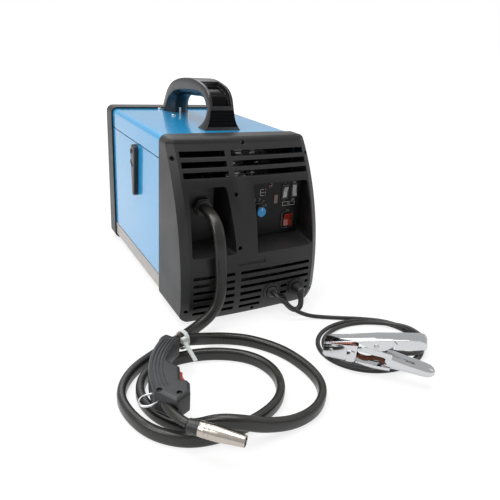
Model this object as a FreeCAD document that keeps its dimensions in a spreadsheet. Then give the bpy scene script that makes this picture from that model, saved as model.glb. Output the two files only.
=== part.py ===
import FreeCAD, Part

import math
import os

from FreeCAD import Placement, Rotation, Vector

# Portable welder with a torch and an earth clamp on their cables, in millimetres.
# The origin is on the floor under the middle of the cabinet, the controls face -Y and +Z is up.

# Driving sizes
sizes = {
    "cabinetWidth": 240.0,
    "cabinetHeight": 267.0,
    "cabinetLift": 6.0,
    "bodyLength": 274.0,
    "frontDepth": 109.0,
    "rearDepth": 43.0,
    "bezelWall": 3.0,
    "bezelCorner": 12.0,
    "skin": 1.2,
    "seatGap": 0.3,
    "coverFold": 9.0,
    "coverTuck": 5.0,
    "stripHeight": 30.2,
    "doorDrop": 38.5,
    "doorGap": 2.0,
    "doorDepth": 9.0,
    "hingeRodRadius": 1.5,
    "runningGap": 0.05,
    "latchDrop": 12.5,
    "latchPlace": 19.0,
    "latchLength": 72.0,
    "latchBoss": 11.0,
    "footRadius": 11.0,
    "footInset": 32.0,
    "slotPitch": 13.5,
    "slotHeight": 8.5,
    "lowSlotPitch": 11.7,
    "lowSlotHeight": 5.6,
    "socketRadius": 14.8,
    "socketHeight": 38.9,
    "socketNear": 30.7,
    "socketFar": 78.3,
    "plateDepth": 53.0,
    "plateThickness": 2.0,
    "handleRise": 72.8,
    "handleWidth": 34.0,
    "handleFlare": 64.0,
    "dividerPlace": -18.0,
    "spoolRadius": 100.0,
    "spoolWidth": 55.0,
    "spoolBore": 25.6,
    "spoolPlace": 62.0,
    "spoolRise": 140.0,
    "rollRadius": 15.0,
    "pressRadius": 11.0,
    "wireDiameter": 0.8,
    "feederPlace": -70.0,
    "feederRise": 150.0,
    "fanRadius": 52.0,
    "fanInset": 72.0,
    "fanRise": 140.0,
    "hoseDiameter": 18.0,
    "cableDiameter": 7.6,
    "leadDiameter": 9.0,
    "gripThickness": 30.0,
    "neckDiameter": 11.0,
    "nozzleDiameter": 17.0,
    "nozzleLength": 52.0,
    "nozzleBore": 12.5,
    "coilHeight": 8.0,
    "clampWidth": 22.0,
    "clampSheet": 1.8,
}

doc = FreeCAD.newDocument("Welder")
sheet = doc.addObject("Spreadsheet::Sheet", "Sizes")
for row, (alias, value) in enumerate(sizes.items(), start=1):
    sheet.set(f"A{row}", alias)
    sheet.set(f"B{row}", str(value))
    sheet.setAlias(f"B{row}", alias)
doc.recompute()

# Places worked out from the driving sizes
halfWidth = sizes["cabinetWidth"] / 2
cabinetBottom = sizes["cabinetLift"]
cabinetTop = cabinetBottom + sizes["cabinetHeight"]
overallLength = sizes["frontDepth"] + sizes["bodyLength"] + sizes["rearDepth"]
frontEnd = -overallLength / 2
frontJoint = frontEnd + sizes["frontDepth"]
rearJoint = frontJoint + sizes["bodyLength"]
rearEnd = overallLength / 2
wall = sizes["bezelWall"]
skin = sizes["skin"]
seatGap = sizes["seatGap"]
coverInset = wall + seatGap
coverHalf = halfWidth - coverInset
coverTop = cabinetTop - coverInset
panBottom = cabinetBottom + coverInset
panFloor = panBottom + skin
stripTop = panBottom + sizes["stripHeight"]
doorBottom = stripTop + sizes["doorGap"]
doorTop = cabinetTop - sizes["doorDrop"]
latchRise = doorTop - sizes["latchDrop"]
plateFace = frontEnd + sizes["plateDepth"]
fanPlace = halfWidth - sizes["fanInset"]
# The front stood here when the cords, the torch and the clamp were laid out
laidShift = frontEnd + 213.0
coverFront = frontJoint - sizes["coverTuck"]
coverRear = rearJoint + sizes["coverTuck"]

nodes = []


# Small helpers for places and shapes
def at(x, y, z):
    return Vector(x, y, z)


def box(x0, x1, y0, y1, z0, z1):
    return Part.makeBox(x1 - x0, y1 - y0, z1 - z0, at(x0, y0, z0))


def rod(radius, start, end):
    run = end - start
    return Part.makeCylinder(radius, run.Length, start, run)


def tubeBetween(outer, inner, start, end):
    return rod(outer, start, end).cut(rod(inner, start, end))


def taperedRod(firstRadius, lastRadius, start, end):
    run = end - start
    return Part.makeCone(firstRadius, lastRadius, run.Length, start, run)


def joined(shapes):
    first = shapes[0]
    return first.fuse(shapes[1:]).removeSplitter()


def wireOf(points):
    """A closed wire through points; a point given as (via, end) is an arc through via."""
    edges = []
    here = points[0]
    for point in points[1:] + [points[0]]:
        if isinstance(point, tuple):
            via, end = point
            edges.append(Part.Arc(here, via, end).toShape())
            here = end
        else:
            if (point - here).Length > 1e-6:
                edges.append(Part.LineSegment(here, point).toShape())
            here = point
    return Part.Wire(edges)


def prism(points, run):
    return Part.Face(wireOf(points)).extrude(run)


def sidePrism(points, x0, x1):
    """A prism along X from an outline of (y, z) pairs, or ((y, z), (y, z)) for an arc."""
    placed = []
    for point in points:
        if isinstance(point[0], tuple):
            placed.append(tuple(at(x0, *pair) for pair in point))
        else:
            placed.append(at(x0, *point))
    return prism(placed, at(x1 - x0, 0, 0))


def frontPrism(points, y0, y1):
    """A prism along Y from an outline of (x, z) pairs, or pairs of them for an arc."""
    placed = []
    for point in points:
        if isinstance(point[0], tuple):
            placed.append(tuple(at(pair[0], y0, pair[1]) for pair in point))
        else:
            placed.append(at(point[0], y0, point[1]))
    return prism(placed, at(0, y1 - y0, 0))


def roundedBox(x0, x1, y0, y1, z0, z1, radius):
    """A box whose four edges along Y are rounded."""
    block = box(x0, x1, y0, y1, z0, z1)
    long = [e for e in block.Edges if abs(e.tangentAt(e.FirstParameter).y) > 0.99]
    return block.makeFillet(radius, long)


def roundedLoop(u0, u1, v0, v1, radius):
    """Sketch points of a rectangle with rounded corners."""
    bend = radius * (1 - math.sqrt(0.5))
    return [
        (u0 + radius, v0), (u1 - radius, v0), ((u1 - bend, v0 + bend), (u1, v0 + radius)),
        (u1, v1 - radius), ((u1 - bend, v1 - bend), (u1 - radius, v1)),
        (u0 + radius, v1), ((u0 + bend, v1 - bend), (u0, v1 - radius)),
        (u0, v0 + radius), ((u0 + bend, v0 + bend), (u0 + radius, v0)),
    ]


# Document helpers
def addFeature(label, shape):
    item = doc.addObject("Part::Feature", label)
    item.Label = label
    item.Shape = shape
    nodes.append(item)
    return item


def addBody(label):
    body = doc.addObject("PartDesign::Body", label)
    body.Label = label
    nodes.append(body)
    return body


def addSketch(body, role, lift, loops):
    """A sketch on one origin plane of its body; lift is an expression for its offset."""
    sketch = body.newObject("Sketcher::SketchObject", body.Label + "_sketch")
    plane = next(f for f in body.Origin.OriginFeatures if f.Role == role)
    sketch.AttachmentSupport = [(plane, "")]
    sketch.MapMode = "FlatFace"
    sketch.setExpression("AttachmentOffset.Base.z", lift)
    for loop in loops:
        here = loop[0]
        for point in loop[1:] + [loop[0]]:
            if isinstance(point[0], tuple):
                via, end = point
                arc = Part.Arc(at(*here, 0), at(*via, 0), at(*end, 0))
                sketch.addGeometry(arc, False)
                here = end
            else:
                if point != here:
                    line = Part.LineSegment(at(*here, 0), at(*point, 0))
                    sketch.addGeometry(line, False)
                here = point
    return sketch


def addCircles(body, role, lift, circles):
    sketch = body.newObject("Sketcher::SketchObject", body.Label + "_circles")
    plane = next(f for f in body.Origin.OriginFeatures if f.Role == role)
    sketch.AttachmentSupport = [(plane, "")]
    sketch.MapMode = "FlatFace"
    sketch.setExpression("AttachmentOffset.Base.z", lift)
    for (u, v), radius in circles:
        sketch.addGeometry(Part.Circle(at(u, v, 0), at(0, 0, 1), radius), False)
    return sketch


def addPad(body, sketch, length):
    pad = body.newObject("PartDesign::Pad", body.Label + "_pad")
    pad.Profile = sketch
    pad.setExpression("Length", length)
    doc.recompute()
    return pad


def addPocket(body, sketch, length, backwards):
    """Cut a sketch into its body, and make sure that something was cut."""
    before = body.Shape.Volume
    pocket = body.newObject("PartDesign::Pocket", body.Label + "_pocket")
    pocket.Profile = sketch
    pocket.Reversed = backwards
    pocket.setExpression("Length", length)
    doc.recompute()
    if body.Shape.Volume >= before:
        raise RuntimeError(f"{body.Label} has a pocket that cuts nothing")
    return pocket


def addTurned(label, outline, place):
    """A turned piece: an outline of (radius, height) pairs, revolved about its own Z."""
    body = addBody(label)
    sketch = addSketch(body, "XZ_Plane", "0", [outline])
    turned = body.newObject("PartDesign::Revolution", label + "_turned")
    turned.Profile = sketch
    turned.ReferenceAxis = (sketch, ["V_Axis"])
    turned.Angle = 360
    doc.recompute()
    body.Placement = place
    return body


# Base pan: folded sheet, with its sides showing as a light strip under the cover
def makeBasePan():
    body = addBody("base_pan")
    inner = coverHalf - skin
    lap = inner - seatGap
    lapTop = stripTop + 13
    fold = sizes["coverFold"]
    bend = fold * (1 - math.sqrt(0.5))
    innerBend = (fold - skin) * (1 - math.sqrt(0.5))
    section = [
        (-coverHalf, panBottom + fold),
        ((-coverHalf + bend, panBottom + bend), (-coverHalf + fold, panBottom)),
        (coverHalf - fold, panBottom),
        ((coverHalf - bend, panBottom + bend), (coverHalf, panBottom + fold)),
        (coverHalf, stripTop),
        (lap, stripTop + skin),
        (lap, lapTop),
        (lap - skin, lapTop),
        (lap - skin, stripTop),
        (inner, stripTop - skin),
        (inner, panBottom + fold),
        ((inner - innerBend, panFloor + innerBend), (coverHalf - fold, panFloor)),
        (-coverHalf + fold, panFloor),
        ((-inner + innerBend, panFloor + innerBend), (-inner, panBottom + fold)),
        (-inner, stripTop),
        (-coverHalf, stripTop),
    ]
    rear = f"-({coverRear})"
    sketch = addSketch(body, "XZ_Plane", rear, [section])
    addPad(body, sketch, "Sizes.bodyLength + 2 * Sizes.coverTuck")
    # Cooling slots through the floor under the transformer
    slots = []
    for index in range(8):
        y = -40 + index * 14
        slots.append([(30, y), (90, y), (90, y + 6), (30, y + 6)])
    cutSketch = addSketch(body, "XY_Plane", f"{panFloor + 1}", slots)
    addPocket(body, cutSketch, "Sizes.skin + 3", False)
    # Two tabs that carry the door's hinge rod
    for y in (frontJoint + 2.6, rearJoint - 4.1):
        tab = [
            (-hingeHalf, panBottom + fold),
            (-coverHalf + fold, panFloor - skin / 2),
            (-coverHalf + fold + 8, panFloor - skin / 2),
            (-hingeHalf + 8, panBottom + fold + 4),
            (-hingeHalf + 8, hingeRise + 3.6),
            (-hingeHalf, hingeRise + 3.6),
        ]
        tabSketch = addSketch(body, "XZ_Plane", f"-({y + 1.5})", [tab])
        addPad(body, tabSketch, "1.5")
    holes = addCircles(
        body, "XZ_Plane", f"-({rearJoint})",
        [((hingeX, hingeRise), sizes["hingeRodRadius"] + sizes["runningGap"])],
    )
    addPocket(body, holes, "Sizes.bodyLength", True)
    return body


hingeX = -(coverHalf - skin) + 2.4
hingeHalf = coverHalf - skin - seatGap
hingeRise = doorBottom + 3.0


def makeFeet():
    body = addTurned(
        "rubber_feet",
        [(0, 0), (sizes["footRadius"] - 1.5, 0), (sizes["footRadius"], 1.5),
         (sizes["footRadius"] - 1, panBottom), (0, panBottom)],
        Placement(),
    )
    nodes.remove(body)
    outline = body.Shape
    feet = []
    for x in (-halfWidth + sizes["footInset"], halfWidth - sizes["footInset"]):
        for y in (frontJoint + 20, rearJoint - 20):
            foot = outline.copy()
            foot.translate(at(x, y, 0))
            feet.append(foot)
    body.Label = "foot_form"
    addFeature("rubber_feet", Part.makeCompound(feet))


# Cover: folded sheet that makes the roof, the right side and a strip above the door
def makeCover():
    body = addBody("cover")
    outer = sizes["coverFold"]
    inner = outer - skin
    left = -coverHalf
    right = coverHalf
    turn = math.sqrt(0.5)
    stripEnd = doorTop + 1.5
    bendOut = outer * (1 - turn)
    section = [
        (right, doorBottom),
        (right, coverTop - outer),
        ((right - bendOut, coverTop - bendOut), (right - outer, coverTop)),
        (left + outer, coverTop),
        ((left + bendOut, coverTop - bendOut), (left, coverTop - outer)),
        (left, stripEnd),
        (left + sizes["doorDepth"] + 0.7, stripEnd),
        (left + sizes["doorDepth"] + 0.7, stripEnd + skin),
        (left + skin, stripEnd + skin),
        (left + skin, coverTop - outer),
        ((left + skin + inner * (1 - turn), coverTop - skin - inner * (1 - turn)),
         (left + outer, coverTop - skin)),
        (right - outer, coverTop - skin),
        ((right - skin - inner * (1 - turn), coverTop - skin - inner * (1 - turn)),
         (right - skin, coverTop - outer)),
        (right - skin, doorBottom),
    ]
    sketch = addSketch(body, "XZ_Plane", f"-({coverRear})", [section])
    addPad(body, sketch, "Sizes.bodyLength + 2 * Sizes.coverTuck")
    holes = addCircles(
        body, "XY_Plane", f"{coverTop + 1}", [(spot, 2.1) for spot in topScrewSpots]
    )
    addPocket(body, holes, "Sizes.skin + 2", False)
    return body


handleShift = -3.0
topScrewSpots = [
    (-26.0, 86.0),
    (-26.0, 164.0),
    (handleShift, -54.0),
    (handleShift, 112.0),
    (handleShift, 148.0),
]


def panHead(place, radius, height, stem, length):
    """A pan head screw whose head stands on place and whose stem goes down."""
    head = Part.makeCylinder(radius, height, place, at(0, 0, 1))
    rims = [e for e in head.Edges if abs(e.CenterOfMass.z - place.z - height) < 1e-6]
    head = head.makeFillet(height * 0.45, rims)
    shaft = Part.makeCylinder(stem, length, place, at(0, 0, -1))
    slotA = box(-radius * 0.55, radius * 0.55, -0.4, 0.4, height * 0.4, height + 1)
    slotB = box(-0.4, 0.4, -radius * 0.55, radius * 0.55, height * 0.4, height + 1)
    cross = slotA.fuse(slotB)
    cross.translate(place)
    return head.fuse(shaft).cut(cross)


def makeTopScrews():
    screws = []
    for x, y in topScrewSpots[:2]:
        screws.append(panHead(at(x, y, coverTop), 4.2, 2.4, 1.9, 8))
    for x, y in topScrewSpots[2:]:
        screw = panHead(at(0, 0, 0), 4.2, 2.4, 1.9, 12)
        screw.rotate(at(0, 0, 0), at(1, 0, 0), 180)
        screw.translate(at(x, y, coverTop - skin))
        screws.append(screw)
    addFeature("top_screws", Part.makeCompound(screws))


# Door over the wire spool, hinged along its bottom edge
def makeDoor():
    body = addBody("door_panel")
    gap = 0.6
    front = frontJoint + gap
    rear = rearJoint - gap
    top = doorTop
    sketch = addSketch(
        body, "YZ_Plane", f"{-coverHalf}",
        [[(front, doorBottom), (rear, doorBottom), (rear, top), (front, top)]],
    )
    addPad(body, sketch, "Sizes.doorDepth")
    hollow = [
        (front + skin, doorBottom - 1),
        (rear - skin, doorBottom - 1),
        (rear - skin, top - skin),
        (front + skin, top - skin),
    ]
    inside = addSketch(body, "YZ_Plane", f"{-coverHalf + skin}", [hollow])
    addPocket(body, inside, "Sizes.doorDepth", True)
    # The lower ends of the returns are cut back, so that they swing clear of the base pan
    lowCut = [
        (front - 1, doorBottom - 1), (rear + 1, doorBottom - 1),
        (rear + 1, hingeRise + 6), (front - 1, hingeRise + 6),
    ]
    ends = addSketch(body, "YZ_Plane", f"{-coverHalf + skin}", [lowCut])
    addPocket(body, ends, "Sizes.doorDepth", True)
    # Notches that let the lower edge swing past the hinge tabs
    notches = []
    for y in (frontJoint + 2.6, rearJoint - 4.1):
        notches.append([
            (y - 0.8, doorBottom - 1), (y + 2.3, doorBottom - 1),
            (y + 2.3, hingeRise + 5), (y - 0.8, hingeRise + 5),
        ])
    notchSketch = addSketch(body, "YZ_Plane", f"{-coverHalf - 1}", notches)
    addPocket(body, notchSketch, "Sizes.skin + 2", True)
    shaftHole = addCircles(
        body, "YZ_Plane", f"{-coverHalf - 1}",
        [((sizes["latchPlace"], latchRise), 4.05)],
    )
    addPocket(body, shaftHole, "Sizes.skin + 2", True)
    # Rolled knuckles round the hinge rod
    bore = sizes["hingeRodRadius"] + sizes["runningGap"]
    for y0, y1 in ((-84, -60), (18, 48), (126, 150)):
        ring = addCircles(
            body, "XZ_Plane", f"-({y1})",
            [((hingeX, hingeRise), 2.6), ((hingeX, hingeRise), bore)],
        )
        addPad(body, ring, f"{y1 - y0}")
    return body


def makeHingeRod():
    cylinder = doc.addObject("Part::Cylinder", "hinge_rod")
    cylinder.Label = "hinge_rod"
    cylinder.setExpression("Radius", "Sizes.hingeRodRadius")
    cylinder.setExpression("Height", "Sizes.bodyLength - 4")
    cylinder.Placement = Placement(
        at(hingeX, frontJoint + 2, hingeRise), Rotation(at(1, 0, 0), -90)
    )
    nodes.append(cylinder)


# Latch lever on the door, with its shaft and the tongue behind the door
def makeLatch():
    y = sizes["latchPlace"]
    z = latchRise
    outer = -halfWidth - 5
    face = -coverHalf - 0.2
    boss = sizes["latchBoss"]
    tip = 6.0
    low = z - sizes["latchLength"]
    lever = sidePrism(
        [(y - boss, z), ((y, z + boss), (y + boss, z)), (y + tip, low),
         ((y, low - tip), (y - tip, low))],
        outer, face,
    )
    rim = [e for e in lever.Edges if abs(e.CenterOfMass.x - outer) < 1e-6]
    lever = lever.makeFillet(2.5, rim)
    dishes = [
        Part.makeSphere(5.5, at(outer - 2.6, y, z)),
        Part.makeSphere(5.0, at(outer - 2.6, y + 0.5, z - 24)),
    ]
    lever = lever.cut(dishes)
    inner = -coverHalf + sizes["doorDepth"]
    shaft = rod(4.0, at(face - 2, y, z), at(inner + 2.2, y, z))
    tongue = sidePrism(
        [(y - 8, z - 9), (y + 8, z - 9), (y + 24, z - 6), (y + 24, z + 6), (y + 8, z + 9),
         (y - 8, z + 9)],
        inner + 1.4, inner + 3.4,
    )
    addFeature("door_latch", joined([lever, shaft, tongue]))


# Front bezel: one moulding whose raked front is bowed and has broad slanted edges
def frontProfile(shift, inset):
    """Side outline of the bezel on the plane x=0, moved forward by shift."""
    top = cabinetTop - inset
    bottom = cabinetBottom + inset
    back = frontJoint + 300
    reach = frontEnd + 12 - shift + inset
    over = 15.0
    rake = [
        (back, top + over),
        (frontJoint - 9 - shift + inset, top + over),
        (frontJoint - 17 - shift + inset, top),
        ((frontJoint - 22.3 - shift + inset, top - 3.2), (frontJoint - 25 - shift + inset, top - 9)),
        ((reach + 26.5, top - 88), (reach, bottom + 41)),
        ((reach + 1.4, bottom + 19), (reach + 9.8, bottom - 1.4)),
        (reach + 15, bottom - over),
        (back, bottom - over),
    ]
    return rake


def bezelForm(inset):
    half = halfWidth - inset
    corner = sizes["bezelCorner"] - inset
    bow = 5.0
    block = roundedBox(
        -half, half, frontEnd - 20, frontJoint + (8 if inset else 0),
        cabinetBottom + inset, cabinetTop - inset, corner,
    )
    arm = (half * half + bow * bow) / (2 * bow)
    placed = []
    for point in frontProfile(12.0, inset):
        if isinstance(point[0], tuple):
            placed.append(tuple(at(0, *pair) for pair in point))
        else:
            placed.append(at(0, *point))
    face = Part.Face(wireOf(placed))
    face.rotate(at(0, frontEnd + arm, 0), at(0, 0, 1), -8)
    bowed = face.revolve(at(0, frontEnd + arm, 0), at(0, 0, 1), 16)
    side = frontProfile(0.0, inset)
    form = block.common(bowed)
    for hand in (-1, 1):
        placed = []
        for point in side:
            if isinstance(point[0], tuple):
                placed.append(tuple(at(hand * half, *pair) for pair in point))
            else:
                placed.append(at(hand * half, *point))
        slanted = prism(placed, at(-hand * 2 * half, -2 * half * 0.7, 0))
        form = form.common(slanted)
    return form


def funnel(front, back, frontY, backY, reachY):
    """A tapered hollow between two upright rectangles (x0, x1, z0, z1), run on to reachY."""
    share = (reachY - backY) / (frontY - backY)
    mouth = [b + (f - b) * share for f, b in zip(front, back)]
    rings = []
    for (x0, x1, z0, z1), y in ((mouth, reachY), (back, backY)):
        rings.append(Part.makePolygon(
            [at(x0, y, z0), at(x1, y, z0), at(x1, y, z1), at(x0, y, z1), at(x0, y, z0)]
        ))
    return Part.makeLoft(rings, True, True)


torchMouth = (-104.0, -34.0, 110.5, 210.0)
torchBack = (-98.0, -48.0, 117.0, 206.0)
torchBackY = frontEnd + 65.0
controlMouth = (2.5, 108.0, 108.0, 210.5)
controlBack = (4.0, 104.5, 116.0, 207.0)
controlBackY = plateFace + sizes["plateThickness"] + 0.3
tubThickness = 2.4
screwSpots = [
    (0.0, cabinetTop - 8.5),
    (0.0, cabinetBottom + 7.4),
    (-halfWidth + 5.2, 246.0),
    (halfWidth - 5.2, 246.0),
    (-halfWidth + 7.4, 27.0),
    (halfWidth - 7.4, 27.0),
    (-26.5, 196.0),
    (-27.5, 119.5),
]


def tub(mouth, back, backY):
    grown = []
    for x0, x1, z0, z1 in (mouth, back):
        grown.append((x0 - tubThickness, x1 + tubThickness, z0 - tubThickness, z1 + tubThickness))
    solid = funnel(grown[0], grown[1], frontEnd + 8.0, backY + tubThickness, frontEnd - 20)
    hollow = funnel(mouth, back, frontEnd + 8.0, backY, frontEnd - 20)
    long = [e for e in hollow.Edges if abs(e.tangentAt(e.FirstParameter).y) > 0.9]
    return solid, hollow.makeFillet(5.0, long)


def frontSlots():
    """Every cooling slot of the front bezel, as (x0, x1, z0, z1)."""
    slots = []
    for index in range(3):
        z = 255.0 - index * sizes["slotPitch"]
        slots.append((-104.5, -33.0, z - sizes["slotHeight"], z))
        slots.append((-24.0, 108.0, z - sizes["slotHeight"], z))
    for index in range(6):
        z = 83.0 - index * sizes["lowSlotPitch"]
        slots.append((-103.0, -36.0, z - sizes["lowSlotHeight"], z))
        right = 102.5 if index < 3 else 12.0
        slots.append((-26.0, right, z - sizes["lowSlotHeight"], z))
        if index >= 3:
            if index < 5:
                slots.append((48.0, 61.0, z - sizes["lowSlotHeight"], z))
            slots.append((96.5, 103.5, z - sizes["lowSlotHeight"] + 0.6, z - 0.6))
    return slots


def makeFrontBezel():
    outer = bezelForm(0.0)
    shell = outer.cut(bezelForm(wall))
    solids = []
    hollows = []
    for mouth, back, backY in (
        (torchMouth, torchBack, torchBackY), (controlMouth, controlBack, controlBackY)
    ):
        solid, hollow = tub(mouth, back, backY)
        solids.append(solid.common(outer))
        hollows.append(hollow)
    wells = []
    bores = []
    for x, z in screwSpots:
        wells.append(rod(5.0, at(x, frontEnd - 5, z), at(x, wellEnd, z)).common(outer))
        bores.append(rod(3.2, at(x, frontEnd - 5, z), at(x, wellEnd - 4, z)))
        bores.append(rod(1.7, at(x, wellEnd - 6, z), at(x, wellEnd + 1, z)))
    for x in (sizes["socketNear"], sizes["socketFar"]):
        z = sizes["socketHeight"]
        bores.append(rod(sizes["socketRadius"] - 1.6, at(x, frontEnd - 5, z), at(x, frontEnd + 23, z)))
        bores.append(rod(sizes["socketRadius"] + 0.1, at(x, frontEnd - 5, z), at(x, socketFace, z)))
    leadHole = sizes["leadDiameter"] / 2 + 0.3
    wells.append(rod(leadHole + 2.6, at(leadX, socketFace - 2.5, leadZ), at(leadX, frontEnd + 8, leadZ)))
    bores.append(rod(leadHole, at(leadX, frontEnd - 5, leadZ), at(leadX, frontEnd + 23, leadZ)))
    slots = [box(x0, x1, frontEnd - 5, frontJoint - 8, z0, z1) for x0, x1, z0, z1 in frontSlots()]
    nameStrip = box(-31, 16.7, frontEnd - 5, frontEnd + 4.6, 92, 99)
    bezel = shell.fuse(solids + wells)
    bezel = bezel.cut(hollows + bores + slots + [nameStrip])
    # The opening in the back of the torch recess, and the window behind the control plate
    bezel = bezel.cut(rod(11.0, at(hoseExit.x, torchBackY - 4, hoseExit.z), at(hoseExit.x, torchBackY + 8, hoseExit.z)))
    x0, x1, z0, z1 = controlBack
    window = box(x0 + 9, x1 - 7, controlBackY - 2, controlBackY + 6, z0 + 12, z1 - 3.5)
    bezel = bezel.cut(window)
    addFeature("front_bezel", bezel.removeSplitter())


wellEnd = frontEnd + 85.0
hoseExit = at(-68.0, torchBackY, 172.0)


# Rear bezel: a shallow moulded cap with the fan grille
def rearForm(inset):
    half = halfWidth - inset
    block = roundedBox(
        -half, half, rearJoint - (8 if inset else 0), rearEnd - inset,
        cabinetBottom + inset, cabinetTop - inset, sizes["bezelCorner"] - inset,
    )
    rim = [e for e in block.Edges if abs(e.CenterOfMass.y - (rearEnd - inset)) < 1e-3]
    return block.makeChamfer(9.0 - inset * 0.6, rim)


def makeRearBezel():
    shell = rearForm(0.0).cut(rearForm(wall))
    cuts = []
    radius = sizes["fanRadius"]
    for index in range(-6, 7):
        z = index * 8.0
        reach = math.sqrt(radius * radius - z * z) if abs(z) < radius else 0.0
        if reach > 12:
            cuts.append(box(
                fanPlace - reach, fanPlace + reach, rearEnd - 6, rearEnd + 1,
                sizes["fanRise"] + z - 2.2, sizes["fanRise"] + z + 2.2,
            ))
    for index in range(5):
        z = 224.0 - index * 10.0
        cuts.append(box(-halfWidth + 24, -halfWidth + 86, rearEnd - 6, rearEnd + 1, z - 2.2, z + 2.2))
    wells = []
    for x, z in screwSpots[:6]:
        wells.append(rod(5.0, at(x, rearJoint + 22, z), at(x, rearEnd, z)).common(rearForm(0.0)))
        cuts.append(rod(3.2, at(x, rearJoint + 27, z), at(x, rearEnd + 2, z)))
        cuts.append(rod(1.7, at(x, rearJoint + 20, z), at(x, rearJoint + 28, z)))
    for x, z, bore in ((glandX, glandZ, 8.1), (gasX, gasZ, 6.1)):
        cuts.append(rod(bore, at(x, recessFloor - 6, z), at(x, rearEnd + 2, z)))
    x0, x1, z0, z1 = rearRecess
    wells.append(roundedBox(
        x0 - wall, x1 + wall, recessFloor - wall, rearEnd, z0 - wall, z1 + wall, 6.0
    ))
    cuts.append(roundedBox(x0, x1, recessFloor, rearEnd + 5, z0, z1, 4.0))
    addFeature("rear_bezel", shell.fuse(wells).cut(cuts).removeSplitter())


glandX = -halfWidth + 54.0
glandZ = 62.0
gasX = -halfWidth + 54.0
gasZ = 100.0
rearRecess = (-halfWidth + 30.0, -halfWidth + 78.0, 43.0, 121.0)
recessFloor = rearEnd - 15.0


def makeBezelScrews():
    screws = []
    for x, z in screwSpots:
        screw = panHead(at(0, 0, 0), 3.0, 2.0, 1.6, 9)
        screw.rotate(at(0, 0, 0), at(1, 0, 0), 90)
        screw.translate(at(x, wellEnd - 4, z))
        screws.append(screw)
    for x, z in screwSpots[:6]:
        screw = panHead(at(0, 0, 0), 3.0, 2.0, 1.6, 9)
        screw.rotate(at(0, 0, 0), at(1, 0, 0), -90)
        screw.translate(at(x, rearJoint + 27, z))
        screws.append(screw)
    addFeature("bezel_screws", Part.makeCompound(screws))


# Carry handle: a moulded arch, broad at the foot of its front leg
def makeHandle():
    half = sizes["handleWidth"] / 2
    flare = sizes["handleFlare"] / 2
    top = coverTop + sizes["handleRise"]
    base = coverTop
    outer = [
        (-70, base),
        ((-62, base + 23), (-45, base + 45)),
        ((-24, base + 62), (12, top - 1)),
        ((48, top + 0.5), (100, top - 10)),
        ((150, top - 36), (167, base)),
        (97, base),
        (94, base + 28),
        ((78, base + 43), (50, base + 49)),
        (-8, base + 45),
        ((-30, base + 33), (-40, base)),
    ]
    narrow = sidePrism(outer, handleShift - half, handleShift + half)
    leg = sidePrism(
        [(-70, base), ((-62, base + 23), (-45, base + 45)), (-24, base + 40), (-40, base)],
        handleShift - flare, handleShift + flare,
    )
    spread = frontPrism(
        [(handleShift - flare, base), (handleShift + flare, base),
         ((handleShift + half + 5.5, base + 25), (handleShift + half, base + 46)),
         (handleShift - half, base + 46),
         ((handleShift - half - 5.5, base + 25), (handleShift - flare, base))],
        -80, 0,
    )
    form = joined([narrow, leg.common(spread)])
    # The scoop in the front of the leg and the grooves between its ribs
    scoop = sidePrism(
        [(-90, base + 27), (-53, base + 29), ((-45, base + 45), (-26, base + 58)), (-60, base + 75)],
        handleShift - half + 4, handleShift + half - 4,
    )
    cuts = [scoop]
    for index in range(5):
        z = base + 4.0 + index * 4.6
        wide = flare - 5.0 - index * 2.2
        lean = -68.5 + index * 1.6
        cuts.append(box(handleShift - wide, handleShift + wide, -90, lean + 2.0, z - 1.1, z + 1.1))
    form = form.cut(cuts)
    for x, y in topScrewSpots[2:]:
        form = form.cut(rod(2.0, at(x, y, base - 1), at(x, y, base + 14)))
    addFeature("carry_handle", form)


# Control plate with the switches, the lamp and the wire speed knob
knobSpot = (22.5, 162.0)
lampSpot = (45.0, 200.0)
selectorSpots = ((73.0, 187.0), (90.5, 188.0))
powerSpot = (82.0, 139.5)
selectorHalf = (3.6, 9.6)
powerHalf = (10.0, 8.5)


def makeControlPlate():
    body = addBody("control_plate")
    x0, x1, z0, z1 = controlBack
    face = plateFace
    outline = roundedLoop(x0 + 0.4, x1 - 0.4, z0 + 0.4, z1 - 0.4, 5.0)
    sketch = addSketch(body, "XZ_Plane", f"{-plateFace} - Sizes.plateThickness", [outline])
    addPad(body, sketch, "Sizes.plateThickness")
    loops = []
    for (x, z), (w, t) in [(spot, selectorHalf) for spot in selectorSpots] + [(powerSpot, powerHalf)]:
        loops.append([
            (x - w - 1.6, z - t - 1.6), (x + w + 1.6, z - t - 1.6),
            (x + w + 1.6, z + t + 1.6), (x - w - 1.6, z + t + 1.6),
        ])
    cut = addSketch(body, "XZ_Plane", f"{-face + 1}", loops)
    addPocket(body, cut, "Sizes.plateThickness + 2", False)
    holes = addCircles(body, "XZ_Plane", f"{-face + 1}", [(knobSpot, 3.2), (lampSpot, 2.6)])
    addPocket(body, holes, "Sizes.plateThickness + 2", False)


def rockerForm(x, z, wide, tall):
    """A rocker whose face is a shallow V, lying with its lower half pressed in."""
    face = plateFace
    form = sidePrism(
        [(face + 3.5, z - tall * 0.6), (face + 3.5, z + tall * 0.6), (face + 0.5, z + tall),
         (face - 3.4, z + tall), (face - 2.0, z), (face - 3.4, z - tall), (face + 0.5, z - tall)],
        x - wide, x + wide,
    )
    return form


def rockerHousing(x, z, wide, tall):
    face = plateFace
    flange = box(x - wide - 2.4, x + wide + 2.4, face - 1.6, face, z - tall - 2.4, z + tall + 2.4)
    barrel = box(x - wide - 1.5, x + wide + 1.5, face - 1.6, face + 14, z - tall - 1.5, z + tall + 1.5)
    hollow = box(x - wide, x + wide, face - 3, face + 7, z - tall, z + tall)
    lugs = [
        box(x - 4, x - 2.5, face + 14, face + 20, z - 1, z + 1),
        box(x + 2.5, x + 4, face + 14, face + 20, z - 1, z + 1),
    ]
    return joined([flange, barrel] + lugs).cut(hollow)


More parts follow.
